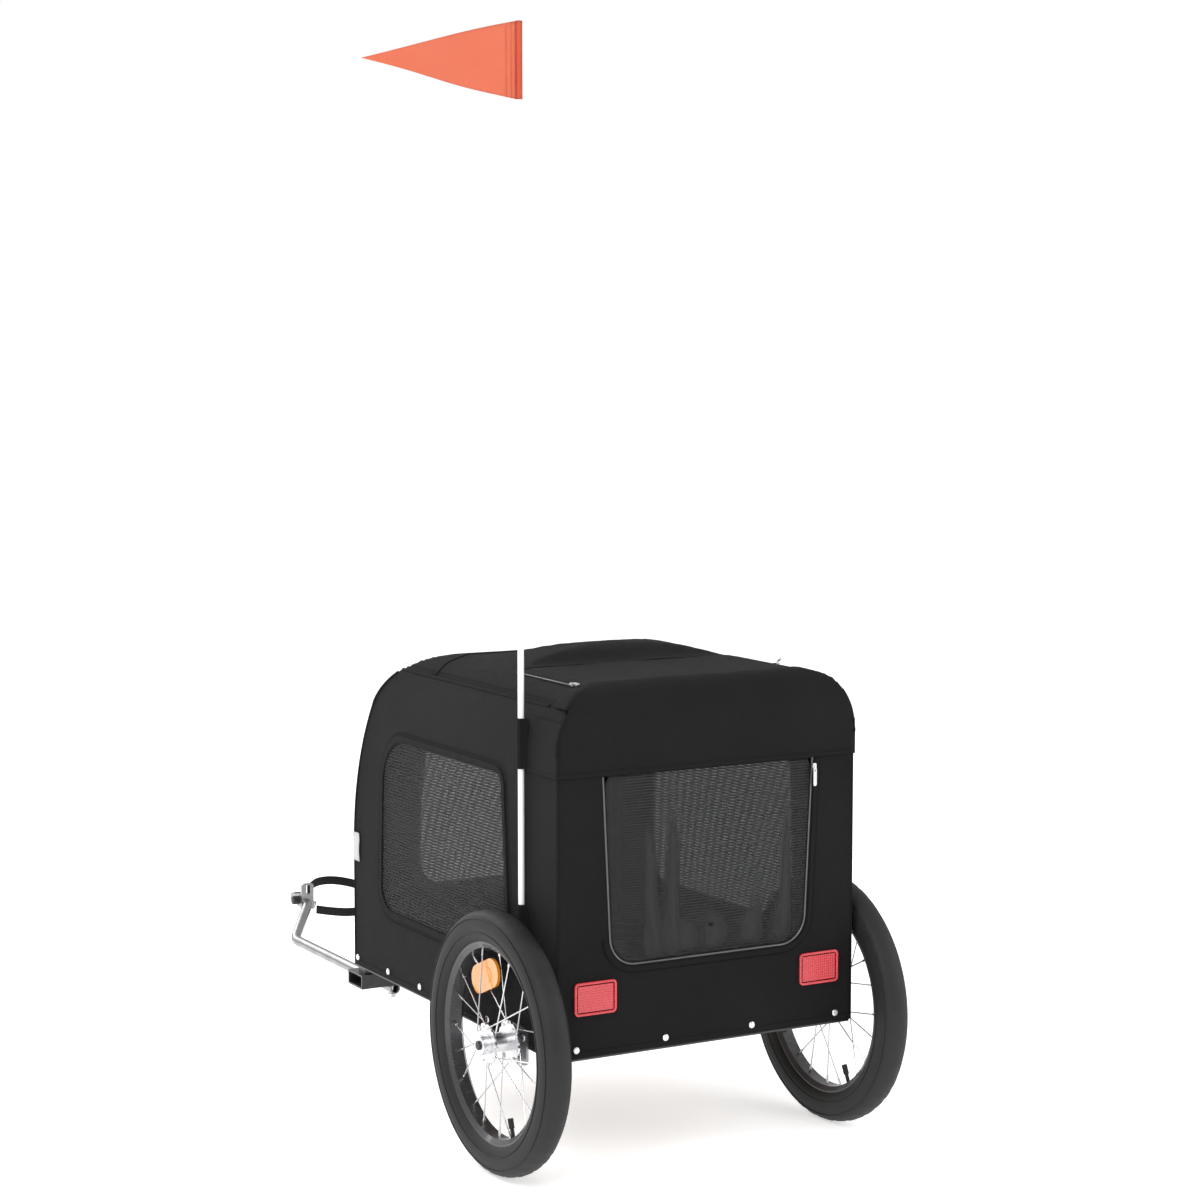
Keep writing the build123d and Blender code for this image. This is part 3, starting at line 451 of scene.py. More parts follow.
def tape_section(width, thick):
    """A flat band with soft edges, lying on the surface."""
    edge, top = width / 2, thick
    return [(-edge, -0.2), (edge, -0.2), (edge, top * 0.5), (edge - 1.0, top),
            (0, top * 0.86), (1.0 - edge, top), (-edge, top * 0.5)]


def resampled(points, pitch, closed=False):
    """Points every pitch millimetres along a line, with their directions."""
    run = points + [points[0]] if closed else points
    done, out = 0.0, []
    for a, b in zip(run, run[1:]):
        length = (b - a).length
        while done <= length and length > 0:
            out.append((a + (b - a) * (done / length), (b - a).normalized()))
            done += pitch
        done -= length
    return out


def stitches(name, points, normals, pitch, body, closed=False, finish=None):
    """A row of thread stitches: short rounded bars that dive at both ends."""
    verts, faces = [], []
    count = len(points)
    for place, tangent in resampled(points, pitch, closed):
        near = min(range(count), key=lambda i: (points[i] - place).length_squared)
        up = normals[near].normalized()
        side = tangent.cross(up).normalized()
        base, long, wide = len(verts), pitch * 0.34, 0.35
        for step, lift in ((-1, -0.1), (0, 0.45), (1, -0.1)):
            middle = place + tangent * long * step + up * lift
            verts += [middle + side * wide, middle - up * 0.3, middle - side * wide, middle + up * 0.3]
        for row in (0, 4):
            for k in range(4):
                m = (k + 1) % 4
                faces.append((base + row + k, base + row + m, base + row + 4 + m, base + row + 4 + k))
        faces += [(base + 3, base + 2, base + 1, base), (base + 8, base + 9, base + 10, base + 11)]
    return piece(name, verts, faces, finish or TAPE, body)


# %% [markdown]
# ## Safety strap
# If the hitch pin fails, this loop of webbing keeps the trailer on the bicycle. It is sewn to the
# clevis at one end and carries a ring at the other. Webbing on edge is stiff, so the loop stands
# out in one smooth curve.

# %% Safety strap
STRAP_ROUTE = [
    (0.000, -0.049, 0.021), (0.014, -0.028, 0.022), (0.044, 0.004, 0.024), (0.088, 0.020, 0.019),
    (0.130, 0.006, 0.008), (0.150, -0.034, -0.006), (0.132, -0.074, -0.016), (0.090, -0.090, -0.022),
    (0.050, -0.078, -0.022), (0.0194, -0.045, -0.019),
]
webbing = bpy.data.curves.new("safety_strap_webbing", "CURVE")
webbing.dimensions, webbing.resolution_u, webbing.twist_mode = "3D", 12, "Z_UP"
run = webbing.splines.new("NURBS")
run.points.add(len(STRAP_ROUTE) - 1)
for point, corner in zip(run.points, STRAP_ROUTE):
    point.co = (*corner, 1.0)
run.order_u, run.use_endpoint_u = 3, True
webbing.extrude, webbing.bevel_depth, webbing.bevel_resolution = 0.0072, 0.0008, 2
webbing.materials.append(WEBBING)
strap = bpy.data.objects.new("safety_strap_webbing", webbing)
scene.collection.objects.link(strap)
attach(strap, "towing_arm")
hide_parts("safety_strap")

# %% [markdown]
# ## The cabin's skin
# The cabin is two outlines at right angles: one from behind, with round shoulders, and one from
# the side, with the curved front. A point of the skin is the lower of the two.

# %% Skin of the cabin
WALL_TOP, SHOULDER_R, EDGE_R = 646.0, 109.0, 45.0
SHOULDER_TURN, EDGE_TURN = math.radians(44.0), math.radians(72.5)
CORNER_R, HUMP_R, DIP_R, HUMP_Y = 45.0, 90.0, 60.0, 200.0
NOSE_R, NOSE_Z, NOSE_TURN = 417.0, 400.0, math.radians(35.1)
SEAM_X = HALF - 20.0
EDGE_CENTRE = (HALF - SHOULDER_R + (SHOULDER_R - EDGE_R) * math.cos(SHOULDER_TURN),
               WALL_TOP + (SHOULDER_R - EDGE_R) * math.sin(SHOULDER_TURN))
CROWN_R = EDGE_CENTRE[0] / math.cos(EDGE_TURN) + EDGE_R
CROWN_Z = EDGE_CENTRE[1] - (CROWN_R - EDGE_R) * math.sin(EDGE_TURN)
BROW_R = (ROOF - NOSE_Z - NOSE_R * math.sin(NOSE_TURN)) / (1 - math.sin(NOSE_TURN))
BROW_Y = FRONT - NOSE_R + (NOSE_R - BROW_R) * math.cos(NOSE_TURN)
EDGE_START = HALF - SHOULDER_R + SHOULDER_R * math.cos(SHOULDER_TURN)
CROWN_START = EDGE_CENTRE[0] + EDGE_R * math.cos(EDGE_TURN)


def section_at_x(x):
    """Height of the section at x, and the angle of its normal from level."""
    x = min(abs(x), HALF)
    if x < CROWN_START:
        return CROWN_Z + math.sqrt(CROWN_R ** 2 - x * x), math.acos(x / CROWN_R)
    if x < EDGE_START:
        angle = math.acos((x - EDGE_CENTRE[0]) / EDGE_R)
        return EDGE_CENTRE[1] + EDGE_R * math.sin(angle), angle
    angle = math.acos(min(1.0, (x - HALF + SHOULDER_R) / SHOULDER_R))
    return WALL_TOP + SHOULDER_R * math.sin(angle), angle


def section_at_z(z):
    """Half width of the section at a height, and the angle of its normal."""
    if z <= WALL_TOP:
        return HALF, 0.0
    angle = math.asin(min(1.0, (z - WALL_TOP) / SHOULDER_R))
    if angle <= SHOULDER_TURN:
        return HALF - SHOULDER_R + SHOULDER_R * math.cos(angle), angle
    angle = math.asin(min(1.0, (z - EDGE_CENTRE[1]) / EDGE_R))
    if angle <= EDGE_TURN:
        return EDGE_CENTRE[0] + EDGE_R * math.cos(angle), angle
    angle = math.asin(min(1.0, (z - CROWN_Z) / CROWN_R))
    return CROWN_R * math.cos(angle), angle


def front_at(t):
    """The front's (y, z, normal angle), t millimetres up from its lower edge."""
    straight = NOSE_Z - BOTTOM
    if t <= straight:
        return FRONT, BOTTOM + t, 0.0
    angle = (t - straight) / NOSE_R
    if angle <= NOSE_TURN:
        return FRONT - NOSE_R * (1 - math.cos(angle)), NOSE_Z + NOSE_R * math.sin(angle), angle
    angle = min(math.pi / 2, NOSE_TURN + (t - straight - NOSE_R * NOSE_TURN) / BROW_R)
    return BROW_Y + BROW_R * math.cos(angle), ROOF - BROW_R * (1 - math.sin(angle)), angle


FRONT_LENGTH = NOSE_Z - BOTTOM + NOSE_R * NOSE_TURN + BROW_R * (math.pi / 2 - NOSE_TURN)


def rear_at(t):
    """The rear's (y, z, normal angle), t millimetres up from its lower edge."""
    straight = ROOF - CORNER_R - BOTTOM
    if t <= straight:
        return REAR, BOTTOM + t, math.pi
    angle = min(math.pi / 2, (t - straight) / CORNER_R)
    y, z = REAR + CORNER_R * (1 - math.cos(angle)), ROOF - CORNER_R * (1 - math.sin(angle))
    return y + max(0.0, t - straight - CORNER_R * math.pi / 2), z, math.pi - angle


def roof_at(y):
    """Height of the side outline over the roof, with the hump over the middle bow."""
    lean = math.acos((DIP_R + HUMP_R - CROWN + ROOF) / (DIP_R + HUMP_R))
    off = abs(y - HUMP_Y)
    if off < HUMP_R * math.sin(lean):
        return CROWN - HUMP_R + math.sqrt(HUMP_R ** 2 - off * off)
    reach = (DIP_R + HUMP_R) * math.sin(lean)
    if off < reach:
        return ROOF + DIP_R - math.sqrt(DIP_R ** 2 - (reach - off) ** 2)
    return ROOF


def limited(x, y, z, angle):
    """A point of the wrap and its normal, held down to the section near the shoulders."""
    top, turn = section_at_x(x)
    if z > top:
        return Vector((x, y, top)), Vector((math.copysign(math.cos(turn), x), 0, math.sin(turn)))
    return Vector((x, y, z)), Vector((0, math.cos(angle), math.sin(angle)))


def on_front(x, t):
    return limited(x, *front_at(t))


def on_rear(x, t):
    return limited(x, *rear_at(t))


def on_roof(x, y):
    return limited(x, y, roof_at(y), math.pi / 2)


def on_side(side):
    def place(y, z):
        x, angle = section_at_z(z)
        return Vector((side * x, y, z)), Vector((side * math.cos(angle), 0, math.sin(angle)))
    return place


# %% [markdown]
# A panel with a hole, such as a wall round its window, is a set of rings that shrink from the
# outer outline to the hole. The grid then follows both edges, and no face is cut. Cloth that is
# stretched on tubes still ripples a millimetre or two, so each inner point moves along its
# normal by a slow noise that fades out at the seams.

# %% Panels as rings
def rounded(points, radii, steps=8):
    """An outline of points with round corners, anticlockwise or clockwise as given."""
    out, count = [], len(points)
    for i, radius in enumerate(radii):
        corner = Vector(points[i])
        if not radius:
            out.append(corner)
            continue
        before = (Vector(points[i - 1]) - corner).normalized()
        after = (Vector(points[(i + 1) % count]) - corner).normalized()
        half = before.angle(after) / 2
        centre = corner + (before + after).normalized() * (radius / math.sin(half))
        start = corner + before * (radius / math.tan(half)) - centre
        end = corner + after * (radius / math.tan(half)) - centre
        for k in range(steps + 1):
            out.append(centre + start.lerp(end, k / steps).normalized() * radius)
    return out


def cast(centre, angle, outline):
    """Where a ray from the centre meets a closed outline."""
    ray = Vector((math.cos(angle), math.sin(angle)))
    best = 0.0
    for a, b in zip(outline, outline[1:] + outline[:1]):
        edge, off = b - a, a - centre
        cross = ray.x * edge.y - ray.y * edge.x
        if abs(cross) < 1e-9:
            continue
        far = (off.x * edge.y - off.y * edge.x) / cross
        share = (off.x * ray.y - off.y * ray.x) / cross
        if far > best and -1e-6 <= share <= 1 + 1e-6:
            best = far
    return centre + ray * best


def ripple(seed, amount, length=110.0):
    def move(p, depth):
        slow = noise.noise(Vector((p[0] / length, p[1] / length, seed)))
        quick = noise.noise(Vector((p[0] / 31.0, p[1] / 24.0, seed + 7.3)))
        return (slow * amount + quick * amount * 0.3) * math.sin(math.pi * min(1.0, depth)) ** 0.6
    return move


def ring_panel(name, outer, hole, skin, rings, move, finish, body, thickness=1.2, count=140):
    """A panel between its outer outline and a hole, or right to its middle without one."""
    frame_line = hole or outer
    centre = sum(frame_line, Vector((0, 0))) / len(frame_line)
    corners = [math.atan2(p.y - centre.y, p.x - centre.x) % (2 * math.pi) for p in outer]
    angles = [2 * math.pi * k / count for k in range(count)]
    angles = sorted(a for a in angles if all(abs(a - c) > 0.008 for c in corners)) + corners
    angles = sorted(set(round(a, 5) for a in angles))
    far = [cast(centre, a, outer) for a in angles]
    near = [cast(centre, a, hole) if hole else centre for a in angles]
    verts, faces, size = [], [], len(angles)
    last = rings if hole else rings - 1
    for k in range(last + 1):
        share = k / rings
        for a, b in zip(far, near):
            p = a.lerp(b, share)
            point, normal = skin(p.x, p.y)
            depth = share if hole else share * 0.5
            verts.append(point + normal * move(p, depth))
    for k in range(last):
        for i in range(size):
            j = (i + 1) % size
            faces.append((k * size + i, k * size + j, (k + 1) * size + j, (k + 1) * size + i))
    if not hole:
        point, normal = skin(centre.x, centre.y)
        verts.append(point + normal * move(centre, 0.5))
        faces += [(last * size + i, last * size + (i + 1) % size, len(verts) - 1) for i in range(size)]
    made = outward(piece(name, verts, faces, finish, body), (0, 200, 420))
    return thicken(made, thickness)


def line_on(outline, skin, lift=0.0):
    """An outline laid on the skin: its points, raised a little, and their normals."""
    pairs = [skin(p.x, p.y) for p in outline]
    return [p + n * lift for p, n in pairs], [n for _, n in pairs]


def dense(outline, pitch=9.0, closed=True):
    """An outline with more points on its long runs."""
    run, out = outline + outline[:1] if closed else outline, []
    for a, b in zip(run, run[1:]):
        steps = max(1, round((b - a).length / pitch))
        out += [a.lerp(b, k / steps) for k in range(steps)]
    return out if closed else out + [run[-1]]


# %% [markdown]
# ## Side walls
# Each side wall is one cloth panel from the base rail up round the shoulder to the roof seam,
# with a net window sewn in behind a bound edge. The front edge follows the curved front.

# %% Side walls and windows
SEAM_Z = section_at_x(SEAM_X)[0]
side_outline = [Vector((REAR, BOTTOM)), Vector((FRONT, BOTTOM))]
for k in range(31):
    y, z, _ = front_at((NOSE_Z - BOTTOM) + k / 30 * (FRONT_LENGTH - NOSE_Z + BOTTOM))
    if z < SEAM_Z:
        side_outline.append(Vector((y, z)))
seam_front = BROW_Y + math.sqrt(BROW_R ** 2 - (SEAM_Z - ROOF + BROW_R) ** 2)
side_outline += [Vector((seam_front, SEAM_Z))]
side_outline += [Vector((REAR + 11, SEAM_Z)), Vector((REAR + 3, SEAM_Z - 8)), Vector((REAR, ROOF - CORNER_R))]
WINDOW = [(54, 600), (480, 600), (494, 305), (34, 305)]
window_hole = rounded(WINDOW, [25, 85, 45, 45])
for side, word in ((-1, "left"), (1, "right")):
    skin = on_side(side)
    wall = ring_panel(
        f"{word}_wall", side_outline, window_hole, skin, 22, ripple(3.1 * side, 1.6), CLOTH, "chassis"
    )
    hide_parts(f"side_panel_{word}")
    net = ring_panel(
        f"{word}_window_net", window_hole, None, skin, 14, ripple(8.4 * side, 2.2), NET, "chassis", 0.5
    )
    if side > 0:
        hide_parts("side_windows")
    edge, normals = line_on(dense(window_hole), skin, 0.2)
    edge = [p + n * 0.6 * noise.noise(p * 0.09) for p, n in zip(edge, normals)]
    swept(f"{word}_window_binding", edge, normals, tape_section(11, 1.6), TAPE, "chassis", True)
    outset = rounded([(43, 611), (486, 611), (505, 294), (22, 294)], [34, 94, 54, 54])
    thread, normals = line_on(dense(outset), skin, 0.5)
    stitches(f"{word}_window_stitches", thread, normals, 4.0, "chassis", True)


# %% [markdown]
# ## Front, rear and roof
# These three are one long wrap in real life, cut and sewn at the brow and at the rear roof
# edge. The front has its own net window, the rear has the zipped opening, and the roof has a
# hatch between two short zips.

# %% Front panel and its window
def wrap_edge(z):
    """How far the wrap reaches sideways at a height."""
    return HALF if z <= WALL_TOP else max(SEAM_X, section_at_z(z)[0]) if z < SEAM_Z else SEAM_X


def wrap_outline(curve, length, bottom_corner=0.0, steps=44):
    right = []
    for k in range(steps + 1):
        t = length * k / steps
        right.append(Vector((wrap_edge(curve(t)[1]), t)))
    return right + [Vector((-p.x, p.y)) for p in reversed(right)]


front_hole = [Vector((p.x, p.y - BOTTOM)) for p in
              rounded([(-141, 615), (141, 615), (141, 310), (-141, 310)], [60, 60, 45, 45])]
front = ring_panel(
    "front_wall", wrap_outline(front_at, FRONT_LENGTH), front_hole, on_front, 26,
    ripple(1.7, 2.0), CLOTH, "chassis",
)
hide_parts("front_panel")
net = ring_panel("front_window_net", front_hole, None, on_front, 12, ripple(5.2, 1.5), NET, "chassis", 0.5)
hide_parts("front_window")
edge, normals = line_on(dense(front_hole), on_front, 0.2)
swept("front_window_binding", edge, normals, tape_section(12, 1.6), TAPE, "chassis", True)

# %% Rear wall round the door
DOOR_TOP = extent("rear_door")[1].z
DOOR_LOW = extent("rear_door")[0].z
DOOR_HALF = extent("rear_door")[1].x
DOOR_LOW_HALF, DOOR_CORNER = DOOR_HALF - 14.0, 40.0


def door_outline(by, top=DOOR_TOP):
    points = [(-DOOR_HALF - by, top), (DOOR_HALF + by, top)]
    points += [(DOOR_LOW_HALF + by, DOOR_LOW - by), (-DOOR_LOW_HALF - by, DOOR_LOW - by)]
    return rounded(points, [0, 0, DOOR_CORNER + by, DOOR_CORNER + by])


REAR_LENGTH = ROOF - CORNER_R - BOTTOM + CORNER_R * math.pi / 2 + FLAP[0].y - REAR - CORNER_R
door_hole = [Vector((p.x, p.y - BOTTOM)) for p in door_outline(5.0)]
rear = ring_panel(
    "rear_wall", wrap_outline(rear_at, REAR_LENGTH), door_hole, on_rear, 20,
    ripple(2.9, 1.2), CLOTH, "chassis",
)
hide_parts("rear_panel")

# %% Roof and hatch
roof_low, roof_high = FLAP[0].y - 0.8, BROW_Y
hatch_half = FLAP[1].x


def roof_grid(name, x_limits, y_limits, move, body, skip=None):
    """A rectangular stretch of roof as a regular net, without the cells that skip names."""
    xs = [x_limits[0] + (x_limits[1] - x_limits[0]) * k / 56 for k in range(57)]
    ys = [y_limits[0] + (y_limits[1] - y_limits[0]) * k / 48 for k in range(49)]
    if skip:
        xs = sorted(set(xs) | {-hatch_half - 0.6, hatch_half + 0.6})
        ys = sorted(set(ys) | {FLAP[1].y + 0.6})
    verts = []
    for y in ys:
        for x in xs:
            point, normal = on_roof(x, y)
            inside = min(1.0, (SEAM_X - abs(x)) / 30) * min(1.0, (y - ys[0]) / 25, (ys[-1] - y) / 25)
            verts.append(point + normal * move((x, y), 0.5) * inside)
    faces = []
    for j in range(len(ys) - 1):
        for i in range(len(xs) - 1):
            middle = ((xs[i] + xs[i + 1]) / 2, (ys[j] + ys[j + 1]) / 2)
            if not skip or not skip(*middle):
                a = j * len(xs) + i
                faces.append((a, a + 1, a + 1 + len(xs), a + len(xs)))
    made = outward(piece(name, verts, faces, CLOTH, body), (0, 200, 420))
    return thicken(made, 1.2)


def over_hatch(x, y):
    return abs(x) < hatch_half + 0.6 and y < FLAP[1].y + 0.6


roof = roof_grid("roof", (-SEAM_X, SEAM_X), (roof_low, roof_high), ripple(4.4, 2.4), "chassis", over_hatch)
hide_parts("roof_panel")
hatch = roof_grid(
    "roof_hatch", (-hatch_half, hatch_half), (FLAP[0].y, FLAP[1].y), ripple(6.6, 1.6), "hatch"
)
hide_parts("roof_flap")

# %% [markdown]
# Cloth edges on a cover are never raw. Piping, a cord sewn inside a folded tape, stiffens the
# curved edge between the front and the sides. The roof seams are folded flat and topstitched.

# %% Piping, seams and hems
for side, word in ((-1, "left"), (1, "right")):
    steps = [FRONT_LENGTH * k / 60 for k in range(61)]
    edge = [front_at(t) for t in steps if front_at(t)[1] < SEAM_Z]
    reach = [HALF - 0.6 if z < WALL_TOP else section_at_z(z)[0] for _, z, _ in edge]
    line = [Vector((side * x, y - 0.6, z)) for x, (y, z, _) in zip(reach, edge)]
    normals = [Vector((side, math.cos(a), math.sin(a))).normalized() for _, _, a in edge]
    swept(f"{word}_front_piping", line, normals, round_section(2.2), TAPE, "chassis")
    seam = [on_roof(side * SEAM_X, y) for y in range(-60, round(seam_front), 8)]
    line, normals = [p + n * 0.3 for p, n in seam], [n for _, n in seam]
    swept(f"{word}_roof_seam", line, normals, tape_section(4.5, 1.1), TAPE, "chassis")
    beside = [on_roof(side * (SEAM_X - 6), y) for y in range(-60, round(seam_front), 8)]
    line, normals = [p + n * 1.2 for p, n in beside], [n for _, n in beside]
    stitches(f"{word}_roof_stitches", line, normals, 4.0, "chassis")
    foot = [Vector((side * HALF, y, BOTTOM + 5)) for y in range(round(REAR), round(FRONT) + 1, 13)]
    swept(f"{word}_lower_hem", foot, [Vector((side, 0, 0))] * len(foot), tape_section(10, 0.9), TAPE, "chassis")
    corner = [Vector((side * (HALF - 0.5), REAR + 0.5, z)) for z in range(194, 611, 16)]
    swept(f"{word}_rear_seam", corner, [Vector((side, -1, 0)).normalized()] * len(corner),
          round_section(1.5, 6), TAPE, "chassis")
brow = [on_front(x, FRONT_LENGTH - 2) for x in range(-236, 237, 8)]
swept("brow_seam", [p + n * 0.3 for p, n in brow], [n for _, n in brow], tape_section(5, 1.2), TAPE, "chassis")
for word, y, way in (("rear", REAR, -1), ("front", FRONT, 1)):
    foot = [Vector((x, y, BOTTOM + 5)) for x in range(-256, 257, 16)]
    swept(f"{word}_lower_hem", foot, [Vector((0, way, 0))] * len(foot), tape_section(10, 0.9), TAPE, "chassis")

# %% [markdown]
# ## Hood over the rear edge
# A separate hood laps over the rear top edge to shed rain from the door's zip. It hangs free at
# its hem and wraps a little way round each side, where a sewn loop holds the flag pole.

# %% Rear hood
HEM = 610.0
LIFT = 2.3
hood_length = REAR_LENGTH - 4.0
rows, columns = 30, 60
verts = []
for j in range(rows + 1):
    t = (HEM - BOTTOM) + (hood_length - HEM + BOTTOM) * j / rows
    reach = wrap_edge(rear_at(t)[1])
    for i in range(columns + 1):
        x = reach * (2 * i / columns - 1)
        point, normal = on_rear(x, t)
        loose = ripple(9.1, 1.3)((x, t), 0.5) * min(1.0, (reach - abs(x)) / 25)
        verts.append(point + normal * (LIFT + max(-1.2, loose)) + Vector((x / HALF * LIFT, 0, 0)))
faces = net_faces(rows + 1, columns + 1)
hood = outward(piece("rear_hood", verts, faces, CLOTH, "chassis"), (0, 200, 420))
thicken(hood, 1.4)
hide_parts("rear_cap")
POLE_BOX = extent("flag_pole_lower")
POLE = ((POLE_BOX[0].x + POLE_BOX[1].x) / 2, (POLE_BOX[0].y + POLE_BOX[1].y) / 2)
for side, word in ((-1, "left"), (1, "right")):
    verts, size = [], 15
    for j in range(13):
        z = HEM + (690 - HEM) * j / 12
        for i in range(size):
            y = REAR - LIFT + (POLE[1] - 10 - REAR + LIFT) * i / (size - 1)
            x, turn = section_at_z(z)
            verts.append(Vector((side * (x + LIFT * math.cos(turn)), y, z + LIFT * math.sin(turn))))
    sheet = piece(f"{word}_hood_wing", verts, net_faces(13, size), CLOTH, "chassis")
    wing = outward(sheet, (0, 0, 650))
    thicken(wing, 1.4)
    line = [Vector((side * (HALF + LIFT), y, HEM + 6)) for y in range(round(REAR), round(POLE[1] - 10), 6)]
    stitches(f"{word}_wing_stitches", line, [Vector((side, 0, 0))] * len(line), 4.0, "chassis")
hem_line = [on_rear(x, HEM + 7 - BOTTOM) for x in range(-252, 253, 8)]
stitches("hood_stitches", [p + n * 3.0 for p, n in hem_line], [n for _, n in hem_line], 4.0, "chassis")

# The loop over the pole: a strip that goes out round it and back to the wall.
loop_section = [Vector((-HALF - 0.6, POLE[1] - 13)), Vector((-HALF - 3.2, POLE[1] - 8.5))]
loop_section += [Vector((POLE[0] + 7.3 * math.cos(a), POLE[1] + 7.3 * math.sin(a))) for a in
                 (math.radians(240 - 12 * k) for k in range(11))]
loop_section += [Vector((-HALF - 3.2, POLE[1] + 6.5)), Vector((-HALF - 0.6, POLE[1] + 9))]
verts = []
for j in range(16):
    z = 613 + 75 * j / 15
    pinch = 0.35 * noise.noise(Vector((z * 0.08, 0, 0)))
    verts += [Vector((p.x - pinch, p.y, z)) for p in loop_section]
sheet = piece("pole_loop", verts, net_faces(16, len(loop_section)), CLOTH, "chassis")
loop = outward(sheet, (POLE[0] + 6, POLE[1], 650))
thicken(loop, 0.9)
print("hood and loop made")

# %% [markdown]
# ## Zips
# A coil zip is two rows of teeth on two tapes. The teeth interlock, so the rows are set half a
# pitch apart. The same function makes the long zip round the door and the short ones by the hatch.


# %% Zip rows
def zip_row(name, points, normals, body, pitch=2.6, tooth=1.5):
    verts, faces = [], []
    count = len(points)
    for number, (place, tangent) in enumerate(resampled(points, pitch / 2)):
        near = min(range(count), key=lambda i: (points[i] - place).length_squared)
        up = normals[near].normalized()
        side = tangent.cross(up).normalized() * (1 if number % 2 else -1)
        base = len(verts)
        for level, grow in ((-0.2, 1.0), (0.35, 1.0), (0.75, 0.6)):
            for a, b in ((-0.35, -0.45), (1.0, -0.45), (1.0, 0.45), (-0.35, 0.45)):
                reach = side * (tooth * (0.35 + (a - 0.35) * grow))
                verts.append(place + reach + tangent * (b * grow * 1.1) + up * level)
        for ring in (0, 4):
            faces += [(base + ring + k, base + ring + (k + 1) % 4, base + ring + 4 + (k + 1) % 4,
                       base + ring + 4 + k) for k in range(4)]
        faces.append((base + 8, base + 9, base + 10, base + 11))
    return piece(name, verts, faces, ZIP_TEETH, body, smooth=False)


ZIP_TEETH = metal_finish("zip_teeth", (0.3, 0.3, 0.31), (0.6, 0.6, 0.6), 0.32, metallic=0.9)
rear_track = [Vector((p.x, p.y - BOTTOM)) for p in door_outline(2.9)]
rear_track = dense(rear_track[1:] + rear_track[:1], 6.0, closed=False)
line, normals = line_on(rear_track, on_rear, 0.1)
teeth = zip_row("door_zip_teeth", line, normals, "chassis")
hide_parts("rear_zip_track")
sunk = [p - n * 0.9 for p, n in zip(line, normals)]
swept("door_zip_tape", sunk, normals, tape_section(5, 0.7), TAPE, "chassis")
outer_line = dense([Vector((p.x, p.y - BOTTOM)) for p in door_outline(11.0)][1:], 8.0, closed=False)
line, normals = line_on(outer_line, on_rear, 0.4)
swept("door_binding", line, normals, tape_section(8, 1.3), TAPE, "chassis")
thread_line = dense([Vector((p.x, p.y - BOTTOM)) for p in door_outline(16.5)][1:], 8.0, closed=False)
line, normals = line_on(thread_line, on_rear, 0.6)
stitches("door_stitches", line, normals, 4.0, "chassis")
for side, word in ((-1, "left"), (1, "right")):
    ends = [Vector((side * (hatch_half + 3.5), y)) for y in (FLAP[0].y, FLAP[1].y)]
    line, normals = line_on(dense(ends, 8.0, False), on_roof, 0.4)
    tape = swept(f"{word}_hatch_zip_tape", line, normals, tape_section(9, 0.8), TAPE, "chassis")
    if side < 0:
        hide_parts("roof_zip_tracks")
for side, word in ((-1, "left"), (1, "right")):
    row = [Vector((side * (hatch_half + 3.5), y)) for y in range(round(FLAP[0].y) + 2, round(FLAP[1].y), 6)]
    line, normals = line_on(row, on_roof, 0.6)
    zip_row(f"{word}_hatch_zip_teeth", line, normals, "chassis")

# %% [markdown]
# A zip slider is a small die-cast saddle with a loose pull. On the roof the right pull stands up
# from its slider, where a hand would find it.


# %% Roof slider with its pull
def zip_slider(name, node, body):
    low, high = extent(node)
    x, y, z = (low.x + high.x) / 2, high.y - 6.0, low.z
    saddle = [Vector((x, y + 5.0 * math.cos(a), z + 1.0 + 2.2 * math.sin(a)))
              for a in (math.pi * k / 12 for k in range(13))]
    made = swept(name, saddle, [Vector((0, math.cos(a), math.sin(a))) for a in
                 (math.pi * k / 12 for k in range(13))], tape_section(6.4, 1.3), BRIGHT, body)
    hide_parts(node)
    pull = [Vector((x, y - 1.0 - 9.0 * k / 12, z + 3.4 + 9.0 * math.sin(0.9 * k / 12))) for k in range(13)]
    for end, part in (("stem", pull[2:11]), ("head", pull[9:]), ("foot", pull[:4])):
        wide = 1.2 if end == "stem" else 2.3
        swept(f"{name}_{end}", part, [Vector((0, 0.7, 0.7))] * len(part),
                      round_section(wide, 10), BRIGHT, body)


zip_slider("right_hatch_slider", "roof_zip_slider_right", "roof_zip_right")

# %% [markdown]
# ## Rear door
# The door is a single net, cut longer than its opening so that it bulges and gathers over the
# bottom. The folds run up and down, shallow at the top hem and deep at the lower corners.

# %% Rear door net
FOLDS = [(-112, 12.0, 14.0), (-66, 15.0, 12.0), (4, 4.0, 26.0), (92, 5.0, 20.0), (138, 14.0, 13.0)]


def door_fold(x, z):
    fall = (DOOR_TOP - z) / (DOOR_TOP - DOOR_LOW)
    rise = sum(a * math.exp(-((x - c - 16 * fall * math.sin(c)) / w) ** 2) for c, a, w in FOLDS)
    gather = 5.0 * math.exp(-((fall - 0.9) / 0.08) ** 2) * (1 + math.sin(x / 9.0))
    return rise * fall ** 0.8 + gather


door_line = [Vector((p.x, p.y)) for p in door_outline(0.0)]
middle = sum(door_line, Vector((0, 0))) / len(door_line)
rays, rings = 160, 40
# shade is painted shade for the door net. It grows with each fold's rise and with the gather at the hem, and is
# stored as the fold value that makes the net opaque and dark there.
verts, faces, shade = [], [], []
for k in range(rings):
    for i in range(rays):
        p = cast(middle, 2 * math.pi * i / rays, door_line).lerp(middle, k / rings)
        inside = math.sin(math.pi / 2 * min(1.0, k / (rings * 0.42)))
        rise = door_fold(p.x, p.y)
        puff = 1.5 * inside + 1.6 * noise.noise(Vector((p.x / 26, p.y / 60, 3.3))) * inside
        verts.append(Vector((p.x, REAR - inside * max(-1.0, 0.55 * rise + puff), p.y)))
        shade.append(min(1.0, inside * rise / 5.0))
verts.append(Vector((middle.x, REAR - 1.0, middle.y)))
shade.append(0.3)
for k in range(rings - 1):
    for i in range(rays):
        j = (i + 1) % rays
        faces.append((k * rays + i, k * rays + j, (k + 1) * rays + j, (k + 1) * rays + i))
